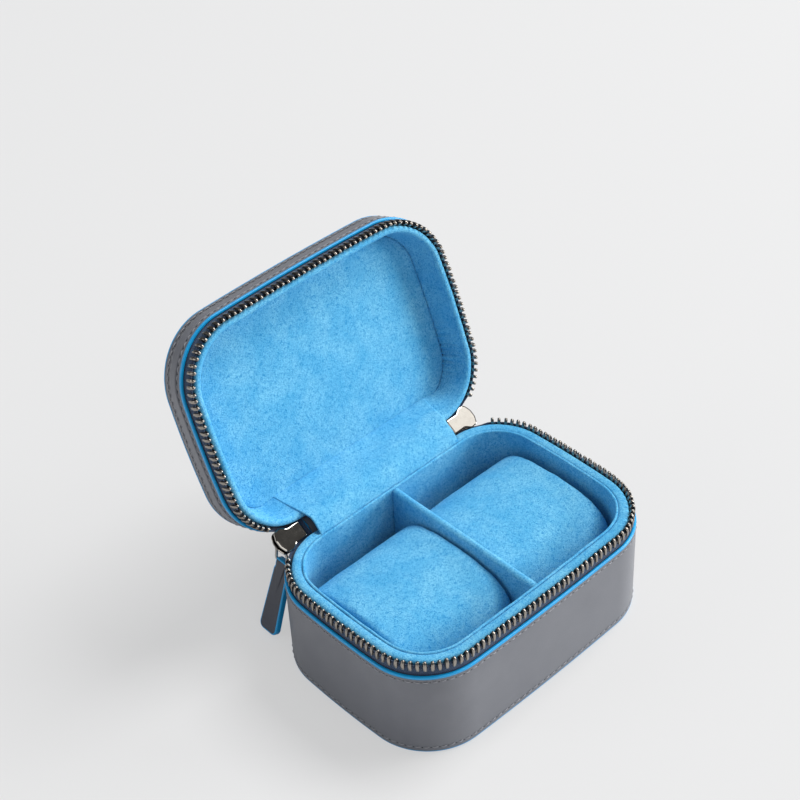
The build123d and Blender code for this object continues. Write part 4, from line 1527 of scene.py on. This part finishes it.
@dataclass
class Slider:
    """A zip slider with two plates, the wedge between them, side flanges and a crown for the pull."""

    side: int
    x: float = 53.0
    y: float = 51.9
    swing_y: float = 51.8
    swing_z: float = 50.5
    length: float = 14.5
    mouth: float = 11.4
    tail: float = 7.6
    plate: float = 1.0
    channel: float = 2.9
    bevel: float = 0.26
    play: float = 0.25
    rail: float = 0.8
    crown_reach: float = 2.7
    crown_height: float = 3.8
    crown_x: float = 3.0
    crown_bar: float = 0.55

    @property
    def name(self) -> str:
        """left or right."""
        return "left" if self.side < 0 else "right"

    def place(self, points: Array) -> Array:
        """Local points (X to the mouth, Z into the case) tilted to half the lid's angle.

        Args:
            points: (..., 3) local points.

        Returns:
            The same points on the case.
        """
        x = self.side * (self.x + points[..., 0])
        y = self.y - points[..., 2]
        z = HINGE.z + self.side * points[..., 1]
        shut = np.stack([x, y, z], -1)
        return HingeLine(self.swing_y, self.swing_z).turn(shut, -HINGE.angle / 2)

    def plan(self) -> Array:
        """Plate outline: straight tail, waist, and a broad round mouth, as tangent arcs.

        Returns:
            (K, 2) X and Y.
        """
        half, tail, mouth = self.length / 2, self.tail / 2, self.mouth / 2
        side = [(-half, tail), (-0.1 * half, 0.96 * tail), (0.3 * half, mouth), (0.8 * half, 0.93 * mouth),
                (half, 0.3 * mouth)]
        corners = [(x, -y) for x, y in side] + side[::-1]
        radii = [1.0, 2.0, 2.0, 2.0, 2.0, 2.0, 2.0, 2.0, 2.0, 1.0]
        return rounded(corners, radii, 96)

    def body(self) -> bpy.types.Object:
        """Both plates with polished bevels, the inner one gently domed, the wedge and the flanges.

        Returns:
            The mesh object.
        """
        loop, gap, cut = self.plan(), self.channel / 2, self.bevel
        face = gap + self.plate
        shape = Shape()
        inner = [(self.play, gap, 0), (0, gap + 0.1, 0), (0, face - cut * 1.2, 0),
                 (cut * 0.25, face - cut * 0.5, 0), (cut, face - 0.06, 0), (cut * 2.2, face, 0)]
        slab(shape, loop, inner, self.place)
        outer = [(cut, -face, 0), (cut * 0.3, cut * 0.3 - face, 0), (0, cut - face, 0),
                 (0, -gap - 0.1, 0), (self.play, -gap, 0)]
        slab(shape, loop, outer, self.place)
        turn = np.linspace(0, 2 * np.pi, 32, endpoint=False)
        post = np.stack([self.length * 0.21 + 2.3 * np.cos(turn), 1.1 * np.sin(turn)], -1)
        slab(shape, post, [(0, -gap - 0.2, 0), (0, gap + 0.2, 0)], self.place)
        start = -self.length * 0.49
        for edge in (-1, 1):
            rail = rounded([(start, 0), (0, 0), (0, self.rail), (start, self.rail)], [0.3] * 4, 40)
            rail[:, 1] += self.tail / 2 - self.rail - 0.05
            if edge < 0:
                rail = rail[::-1] * np.array([1, -1])
            for low, high in ((gap - 0.9, gap + 0.1), (-gap - 0.1, -gap + 0.9)):
                slab(shape, rail, [(0.1, low, 0), (0, low + 0.12, 0), (0, high, 0)], self.place)
        return shape.make(f"slider_{self.name}", [Finish.SLIDER.material()])

    def crown(self) -> bpy.types.Object:
        """The arch for the pull: a rounded bar carried over in a half hoop, wider at its feet.

        Returns:
            The mesh object.
        """
        reach, height, bar = self.crown_reach, self.crown_height, self.crown_bar
        path = rounded([(-reach, -1.0), (reach, -1.0), (reach, height), (-reach, height)],
                       [0.4, 0.4, 1.9, 1.9], 200)
        keep = path[:, 1] > -0.4
        start = int(np.argmax(~keep))
        path = np.roll(path, -start, 0)
        path = path[np.roll(keep, -start)]
        along = np.gradient(path, axis=0)
        along /= np.linalg.norm(along, axis=1, keepdims=True)
        normal = np.stack([-along[:, 1], along[:, 0]], -1)
        turn = np.linspace(0, 2 * np.pi, 12, endpoint=False)
        wide = 0.85 + 0.35 * np.clip(1 - path[:, 1] / 1.6, 0, 1)
        points = np.empty((len(path), 12, 3))
        points[..., 0] = self.crown_x + path[:, :1] + normal[:, :1] * bar * np.cos(turn)
        points[..., 1] = wide[:, None] * np.sin(turn)
        foot = -(self.channel / 2 + self.plate)
        points[..., 2] = foot - path[:, 1:] - normal[:, 1:] * bar * np.cos(turn)
        shape = Shape()
        index = shape.grid(self.place(points), wrap_cols=True)
        for row, order in ((0, -1), (-1, 1)):
            shape.cap(index[row, ::order], self.place(points[row].mean(0)))
        return shape.make(f"crown_{self.name}", [Finish.STEEL.material()])

    def build(self) -> None:
        """Makes the slider and dresses its tape end."""
        body = f"slider_{self.name}"
        settle(self.body(), body, "gunmetal", f"slider_{self.name}_body")
        settle(self.crown(), body, "gunmetal", f"slider_{self.name}_crown")
        dress(f"zip_end_tape_{self.name}", Finish.TAPE)


@dataclass
class Pull:
    """A zip pull: a flat metal link in the crown, and a folded strap of dark calf that leans off its bar."""

    side: int
    hang: tuple[float, float, float] = (0.06, -0.04, -0.997)
    lean: float = 25.5
    crown_x: float = 3.0
    eye_out: float = 4.05
    top_radius: float = 2.2
    wire: float = 1.3
    link: float = 12.0
    bar: float = 10.2
    length: float = 35.0
    width: float = 12.0
    shoulder: float = 9.5
    neck: float = 8.0
    eye: float = 2.1
    thick: float = 3.2
    fold: float = 0.31
    fold_reach: float = 2.2

    @property
    def name(self) -> str:
        """left or right."""
        return "left" if self.side < 0 else "right"

    def place(self, points: Array) -> Array:
        """Local points (Y up along the link, Z out of its face) where the link hangs; the right one mirrors.

        The round top of the link turns about the crown's opening, so the link hangs off square to it.

        Args:
            points: (..., 3) local points.

        Returns:
            The same points on the case.
        """
        eye = Slider(-1).place(np.array([self.crown_x, 0.0, -self.eye_out]))
        tilt = np.radians(HINGE.angle / 2)
        across = np.array([0.0, np.sin(tilt), np.cos(tilt)])
        hang = np.array(self.hang) / np.linalg.norm(self.hang)
        drop = hang - across * (hang @ across)
        drop /= np.linalg.norm(drop)
        face = np.cross(across, drop)
        axes = np.stack([np.cross(face, hang) / np.linalg.norm(np.cross(face, hang)), -hang, face])
        placed = eye + drop * self.top_radius + points @ axes
        placed[..., 0] *= -self.side
        return placed

    def leaned(self, points: Array) -> Array:
        """The strap's points, first swollen where it folds round the bar, then turned about the bar.

        Args:
            points: (..., 3) local points.

        Returns:
            The same points on the case.
        """
        rise = points[..., 1] + self.link
        out = points[..., 2] * (1 + self.fold * np.exp(-(rise / self.fold_reach) ** 2))
        c, s = np.cos(np.radians(self.lean)), np.sin(np.radians(self.lean))
        return self.place(np.stack([points[..., 0], rise * c + out * s - self.link, out * c - rise * s], -1))

    def ring(self) -> bpy.types.Object:
        """The link: a flattened bar round a loop with a round top and a straight foot.

        The bar's section is a rounded square: the cosine and sine to the power 0.6, with their signs.

        Returns:
            The mesh object.
        """
        top, half = self.top_radius, self.bar / 2
        corners = [(-half, -self.link), (half, -self.link), (half, -self.link + 1.8), (top, 0.6),
                   (top * 0.7, top), (-top * 0.7, top), (-top, 0.6), (-half, -self.link + 1.8)]
        loop = rounded(corners, [0.7, 0.7, 1.2, 0.9, 0.8, 0.8, 0.9, 1.2], 120)
        normal = inward(loop)
        turn = np.linspace(0, 2 * np.pi, 12, endpoint=False)
        reach = self.wire / 2
        across, out = (np.sign(np.cos(t)) * np.abs(np.cos(t)) ** 0.6 for t in (turn, turn - np.pi / 2))
        points = np.empty((len(loop), 12, 3))
        points[..., 0] = loop[:, :1] + normal[:, :1] * reach * across
        points[..., 1] = loop[:, 1:] + normal[:, 1:] * reach * across
        points[..., 2] = reach * 0.9 * out
        shape = Shape()
        shape.grid(self.place(points), wrap_rows=True, wrap_cols=True)
        return shape.make(f"pull_{self.name}_ring", [Finish.STEEL.material()])

    def strap(self) -> bpy.types.Object:
        """The strap: a plate with soft faces and a painted band all round, folded over the link's foot.

        Returns:
            The mesh object.
        """
        low, top = -self.link - self.length, -self.link + self.eye
        wide, shoulder, neck = self.width / 2, self.shoulder / 2, self.neck / 2
        shoulder_y, neck_y = -self.link - 3.5, -self.link - 2.0
        corners = [(-wide, low), (wide, low), (shoulder, shoulder_y), (neck, neck_y), (neck, top),
                   (-neck, top), (-neck, neck_y), (-shoulder, shoulder_y)]
        loop = rounded(corners, [3.0, 3.0, 0.7, 0.5, 0.8, 0.8, 0.5, 0.7], 160)
        half = self.thick / 2
        margin, edge = [(1.8, 0.0), (0.8, 0.03)], [(0.42, 0.1), (0.13, 0.34), (0, 0.8)]
        rings = [(inset, drop - half, kind) for (inset, drop), kind in zip(margin + edge, (0, 1, 1, 1, 1))]
        rings += [(inset, half - drop, 1) for inset, drop in edge[::-1]]
        rings += [(inset, half - drop, 0) for inset, drop in margin[::-1]]
        shape = Shape()
        slab(shape, loop, rings, self.leaned)
        return shape.make(f"pull_{self.name}_strap", [Finish.PULL_CALF.material(), Finish.PAINT.material()])

    def build(self) -> None:
        """Makes the link and the strap."""
        settle(self.ring(), f"pull_{self.name}", "pull_metal", f"pull_{self.name}_link")
        settle(self.strap(), f"pull_{self.name}", "pull_leather", f"pull_{self.name}_tab")


@dataclass
class TapeBridge:
    """The zip's sewn end: a strip of dark tape across the hinge gap, between slider and spine."""

    side: int
    inner: float = 42.7
    outer: float = 46.6
    tape: float = 0.6
    start: tuple[float, float, float] = (0.0, 51.2, 49.8)
    end: tuple[float, float, float] = (0.0, 57.2, 53.8)

    def build(self) -> None:
        """A strip from rim to rim, drawn in the open lid's shape."""
        spots = [(50.6, 46.0), (51.0, 49.6), (54.0, 52.3), (57.8, 53.9), (61.6, 52.6)]
        line = smooth(np.array(spots), 8)
        across = np.linspace(self.inner, self.outer, 6) * self.side
        points = np.empty((len(line), 6, 3))
        points[..., 0] = across
        points[..., 1] = line[:, :1]
        points[..., 2] = line[:, 1:]
        shape = Shape()
        shape.grid(points, u=across, v=np.linspace(0, 14, len(line)))
        name = f"tape_bridge_{'left' if self.side < 0 else 'right'}"
        item = shape.make(name, [Finish.TAPE.material()], closed=False)
        solidify(item, self.tape)
        bake(item)
        bend(item, self.start, self.end, "zip_tape")


# ---- cushions -------------------------------------------------------------------------------------
@dataclass
class Cushion:
    """A loose watch cushion: a fat roll of foam in suede, with flat ends, filled a little uneven."""

    name: str
    start: float
    end: float
    seed: int
    middle_y: float = 1.0
    depth: float = 70.0
    height: float = 40.0
    rest: float = 8.25
    flat: float = 0.6
    edge: float = 1.7
    nose: float = 0.92
    voxel: float = 1.4
    pressure: float = 3.0
    cap: float = 1.2
    trim: float = 0.5
    frames: int = 15

    def section(self, count: int) -> Array:
        """The roll's oval about its middle: four arcs, two flat and two round, tangent to each other.

        Args:
            count: points on the oval.

        Returns:
            (count, 2) points.
        """
        long, short = self.depth / 2, self.height / 2
        nose = short * self.nose
        crown = ((long - nose) ** 2 + short ** 2 - nose ** 2) / (2 * (short - nose))
        turn = np.degrees(np.arctan2(long - nose, crown - short))
        over = arc(0, short - crown, crown, 90 - turn, 90 + turn, 60)
        left = arc(-(long - nose), 0, nose, 90 + turn, 270 - turn, 40)
        under = arc(0, crown - short, crown, 270 - turn, 270 + turn, 60)
        right = arc(long - nose, 0, nose, 270 + turn, 450 - turn, 40)
        return resample(np.vstack([over[:-1], left[:-1], under[:-1], right[:-1]]), count)

    def form(self) -> Shape:
        """The roll with round edges: the oval is drawn in along a quarter circle, then flat to its middle.

        Returns:
            The closed shape, swollen 1.2% at its middle as a cosine.
        """
        oval = self.section(150)
        turn = np.radians(np.linspace(0, 90, 9))
        inset = self.edge * (1 - np.sin(turn))
        reach = self.edge * (1 - np.cos(turn))
        half = (self.end - self.start) / 2
        ends = [(-half + r, i) for i, r in zip(inset, reach)]
        faces = [(-half, self.edge + k) for k in (8.0, 4.0, 1.5)]
        body = [(x, 0.0) for x in np.linspace(-half + self.edge + 2, half - self.edge - 2, 22)]
        stations = faces + ends + body + [(-x, inset_here) for x, inset_here in reversed(faces + ends)]
        normals = inward(oval)
        middle_z = self.rest - self.flat + self.height / 2
        rows = []
        for x, inset_here in stations:
            bulge = 1 + 0.012 * np.cos(np.clip(x / half, -1, 1) * np.pi / 2)
            ring = (oval + normals * inset_here) * bulge
            rows.append(np.column_stack([np.full(len(ring), (self.start + self.end) / 2 + x),
                                         ring[:, 0] + self.middle_y, ring[:, 1] + middle_z]))
        shape = Shape()
        index = shape.grid(np.stack(rows), wrap_cols=True)
        shape.cap(index[0][::-1], rows[0].mean(0))
        shape.cap(index[-1], rows[-1].mean(0))
        return shape

    def fill(self, item: bpy.types.Object) -> None:
        """Fills the cover: a short cloth simulation under pressure, with no point moved past the cap.

        Args:
            item: the cushion, which is cut in even voxels first.
        """
        remesh = item.modifiers.new("voxels", "REMESH")
        remesh.mode = "VOXEL"
        remesh.voxel_size = self.voxel * MM
        bake(item)
        before = np.empty(len(item.data.vertices) * 3)
        item.data.vertices.foreach_get("co", before)
        before = before.reshape(-1, 3)
        cloth = item.modifiers.new("cover", "CLOTH")
        cloth.settings.use_pressure = True
        cloth.settings.uniform_pressure_force = self.pressure
        cloth.settings.tension_stiffness = 40
        cloth.settings.compression_stiffness = 40
        cloth.settings.bending_stiffness = 4
        cloth.settings.quality = 5
        cloth.settings.effector_weights.gravity = 0
        scene = bpy.context.scene
        for number in range(1, self.frames + 1):
            scene.frame_set(number)
        graph = bpy.context.evaluated_depsgraph_get()
        swollen = item.evaluated_get(graph).to_mesh()
        after = np.empty(len(before) * 3)
        swollen.vertices.foreach_get("co", after)
        after = after.reshape(-1, 3)
        item.evaluated_get(graph).to_mesh_clear()
        item.modifiers.clear()
        scene.frame_set(1)
        move = after - before
        far = np.linalg.norm(move, axis=1, keepdims=True)
        move *= np.minimum(1, self.cap * MM / np.maximum(far, 1e-9))
        item.data.vertices.foreach_set("co", (before + move).astype(np.float32).ravel())

    def finish(self, item: bpy.types.Object) -> None:
        """Divides the cover once, adds its slack, rests it on the floor and flattens its ends.

        Args:
            item: the cushion.
        """
        divide = item.modifiers.new("divide", "SUBSURF")
        divide.levels = divide.render_levels = 1
        bake(item)
        points = np.empty(len(item.data.vertices) * 3)
        item.data.vertices.foreach_get("co", points)
        points = points.reshape(-1, 3) / MM
        normals = np.empty(len(points) * 3)
        item.data.vertices.foreach_get("normal", normals)
        slack = 0.16 * ripple(points, 15.0, self.seed) + 0.05 * ripple(points, 5.0, self.seed + 1)
        points += normals.reshape(-1, 3) * slack[:, None]
        points[:, 2] = np.maximum(points[:, 2], self.rest)
        points[:, 0] = np.clip(points[:, 0], self.start + self.trim, self.end - self.trim)
        item.data.vertices.foreach_set("co", (points * MM).astype(np.float32).ravel())
        item.data.polygons.foreach_set("use_smooth", np.ones(len(item.data.polygons), bool))
        item.data.update()

    def build(self) -> None:
        """Makes the cushion where its well holds it."""
        item = self.form().make(f"{self.name}_suede", [Finish.SUEDE.material()])
        self.fill(item)
        self.finish(item)
        settle(item, self.name, "blue_suede", self.name)


# ---- studio ---------------------------------------------------------------------------------------
def facing(across: Array, above: Array, back: Array, place: Array) -> Matrix:
    """The matrix of a lamp or camera at a place in metres, from its three unit axes.

    Args:
        across: unit vector to its right.
        above: unit vector up.
        back: unit vector away from what it faces.
        place: its place in metres.

    Returns:
        The 4 x 4 matrix.
    """
    rows = np.eye(4)
    rows[:3, 0], rows[:3, 1], rows[:3, 2], rows[:3, 3] = across, above, back, place
    return Matrix(rows.tolist())


@dataclass(frozen=True)
class Softbox:
    """A rectangular lamp at a place in metres, turned to a point."""

    name: str
    place: tuple[float, float, float]
    aim: tuple[float, float, float]
    size: tuple[float, float]
    watts: float

    def build(self) -> None:
        """Makes the lamp, with its upper edge level."""
        data = bpy.data.lights.new(self.name, "AREA")
        data.shape, data.energy = "RECTANGLE", self.watts
        data.size, data.size_y = self.size
        lamp = bpy.data.objects.new(self.name, data)
        bpy.context.scene.collection.objects.link(lamp)
        back = np.array(self.place) - np.array(self.aim)
        back /= np.linalg.norm(back)
        right = np.cross([0, 0, 1], back)
        right /= np.linalg.norm(right)
        lamp.matrix_world = facing(right, np.cross(back, right), back, self.place)


@dataclass(frozen=True)
class Studio:
    """Pale seamless floor, soft lamps, and the camera in front of the left corner, looking down."""

    background: str = "#e6e6e6"
    glow: float = 0.61
    matt: str = "#8e8e8e"
    bounce: str = "#e0e0e0"
    fill: str = "#f4f6fa"
    fill_strength: float = 0.43
    mirrored: str = "#f0f2f6"
    mirrored_strength: float = 0.1
    floor_reach: float = 6.0
    floor_drop: float = 0.0002
    focal: float = 84.577
    sensor: float = 36.0
    azimuth: float = -41.678
    elevation: float = 40.188
    roll: float = -3.267
    distance: float = 787.185
    target: tuple[float, float, float] = (-7.912, 26.935, 119.092)
    lamps: tuple[Softbox, ...] = (
        Softbox("key", (1.9, -0.3, 2.9), (0, 0.02, 0.05), (1.6, 1.6), 94.0),
        Softbox("side", (2.3, -1.7, 0.7), (0, 0.0, 0.03), (1.2, 0.9), 60.0),
        Softbox("front", (-0.3, -1.9, 2.4), (0, 0.03, 0.06), (1.4, 1.4), 9.0),
        Softbox("left", (-2.2, 1.2, 1.0), (0, 0.02, 0.05), (1.2, 1.2), 10.0),
        Softbox("mirror_card", (0.86, -0.6, 1.2), (0.053, 0.053, 0.054), (0.26, 0.26), 0.38))

    def camera(self) -> None:
        """Aims the camera: back is the way from the target to the eye, and roll turns the frame."""
        a, e, r = np.radians([self.azimuth, self.elevation, self.roll])
        back = np.array([np.sin(a) * np.cos(e), -np.cos(a) * np.cos(e), np.sin(e)])
        right = np.cross(-back, [0, 0, 1])
        right /= np.linalg.norm(right)
        up = np.cross(right, -back)
        across, above = np.cos(r) * right + np.sin(r) * up, -np.sin(r) * right + np.cos(r) * up
        eye = (np.array(self.target) + self.distance * back) * MM
        data = bpy.data.cameras.new("camera")
        data.lens, data.sensor_width = self.focal, self.sensor
        data.clip_start, data.clip_end = 0.05, 60
        camera = bpy.data.objects.new("camera", data)
        bpy.context.scene.collection.objects.link(camera)
        camera.matrix_world = facing(across, above, back, eye)
        bpy.context.scene.camera = camera

    def world(self) -> None:
        """Soft grey fill light: rays from the camera meet the plain background, mirrored rays a dim room."""
        world = bpy.data.worlds.new("studio")
        bpy.context.scene.world = world
        world.use_nodes = True
        tree = world.node_tree
        tree.nodes.clear()
        path = add(tree, "ShaderNodeLightPath")
        fill, dim, plain = (
            add(tree, "ShaderNodeBackground", {"Color": linear(colour), "Strength": strength}).outputs[0]
            for colour, strength in ((self.fill, self.fill_strength), (self.mirrored, self.mirrored_strength),
                                     (self.background, 1.0)))
        room = add(tree, "ShaderNodeMixShader", {0: path.outputs["Is Glossy Ray"], 1: fill, 2: dim})
        seen = add(tree, "ShaderNodeMixShader", {
            0: path.outputs["Is Camera Ray"], 1: room.outputs[0], 2: plain})
        add(tree, "ShaderNodeOutputWorld", {"Surface": seen.outputs[0]})

    def floor(self) -> None:
        """A wide floor: part plain glow, part matt grey that takes the case's soft shadow."""
        reach, drop = self.floor_reach, -self.floor_drop
        mesh = bpy.data.meshes.new("floor")
        mesh.from_pydata([(-reach, -reach, drop), (reach, -reach, drop), (reach, reach, drop),
                          (-reach, reach, drop)], [], [(0, 1, 2, 3)])
        floor = bpy.data.objects.new("floor", mesh)
        bpy.context.scene.collection.objects.link(floor)
        material = bpy.data.materials.new("studio_floor")
        material.use_nodes = True
        tree = material.node_tree
        tree.nodes.clear()
        path = add(tree, "ShaderNodeLightPath")
        glow = add(tree, "ShaderNodeEmission", {"Color": linear(self.background), "Strength": self.glow})
        matt = add(tree, "ShaderNodeBsdfDiffuse", {"Color": linear(self.matt)})
        both = add(tree, "ShaderNodeAddShader", {0: glow.outputs[0], 1: matt.outputs[0]})
        dull = add(tree, "ShaderNodeBsdfDiffuse", {"Color": linear(self.bounce)})
        seen = add(tree, "ShaderNodeMixShader", {
            0: path.outputs["Is Camera Ray"], 1: dull.outputs[0], 2: both.outputs[0]})
        add(tree, "ShaderNodeOutputMaterial", {"Surface": seen.outputs[0]})
        mesh.materials.append(material)

    def build(self) -> None:
        """Sets up everything round the case."""
        self.camera()
        self.world()
        self.floor()
        for lamp in self.lamps:
            lamp.build()
        bpy.context.scene.view_settings.view_transform = "Standard"


# ---- everything -----------------------------------------------------------------------------------
def box_place(points: Array) -> Array:
    """The box and its pieces are drawn where they stand."""
    return points


def lid_place(points: Array) -> Array:
    """A shell drawn from its closed face up, turned over on top of the shut case and then opened.

    Args:
        points: (..., 3) points as drawn.

    Returns:
        The points on the open lid.
    """
    shut = points.copy()
    shut[..., 2] = SHUT_HEIGHT - points[..., 2]
    return HINGE.open(shut)


def zip_on_lid(points: Array) -> Array:
    """The lower half of the zip mirrored about the shut case's parting, at the hinge, and then opened.

    Args:
        points: (..., 3) points of the lower half.

    Returns:
        The points on the open lid.
    """
    shut = points.copy()
    shut[..., 2] = 2 * HINGE.z - points[..., 2]
    return HINGE.open(shut)


def hidden() -> None:
    """Dresses the pieces that stay as they are, most of them inside the walls."""
    for node in ("base_wall_board", "base_floor_board", "divider_board", "lid_wall_board", "lid_top_board"):
        dress(node, Finish.BOARD)
    for node in ("base_wall_foam", "base_floor_foam"):
        dress(node, Finish.FOAM)
    for node in ("base_bottom_panel", "lid_top_panel"):
        dress(node, Finish.CALF)


def main() -> None:
    """Builds each sub-assembly in order."""
    logging.basicConfig(level=logging.INFO, format="%(name)s: %(message)s")
    Shell("box", "base", ("base_leather_wall",), BOX_HEIGHT, box_place).build()
    Shell("lid", "lid", ("lid_leather_wall",), LID_HEIGHT, lid_place, foot_draw=-0.05).build()
    BoxLining().build()
    LidLining().build()
    SoftHinge().build()
    ZipHalf("box", "base", "base_zip_tape", "base_zip_teeth", 0.0, box_place).build()
    ZipHalf("lid", "lid", "lid_zip_tape", "lid_zip_teeth", 0.5, zip_on_lid).build()
    for side in (-1, 1):
        Slider(side).build()
        Pull(side).build()
        TapeBridge(side).build()
    Cushion("cushion_left", start=-61.6, end=-2.2, seed=41).build()
    Cushion("cushion_right", start=3.2, end=61.6, seed=43).build()
    hidden()
    Studio().build()


if __name__ == "__main__":
    main()
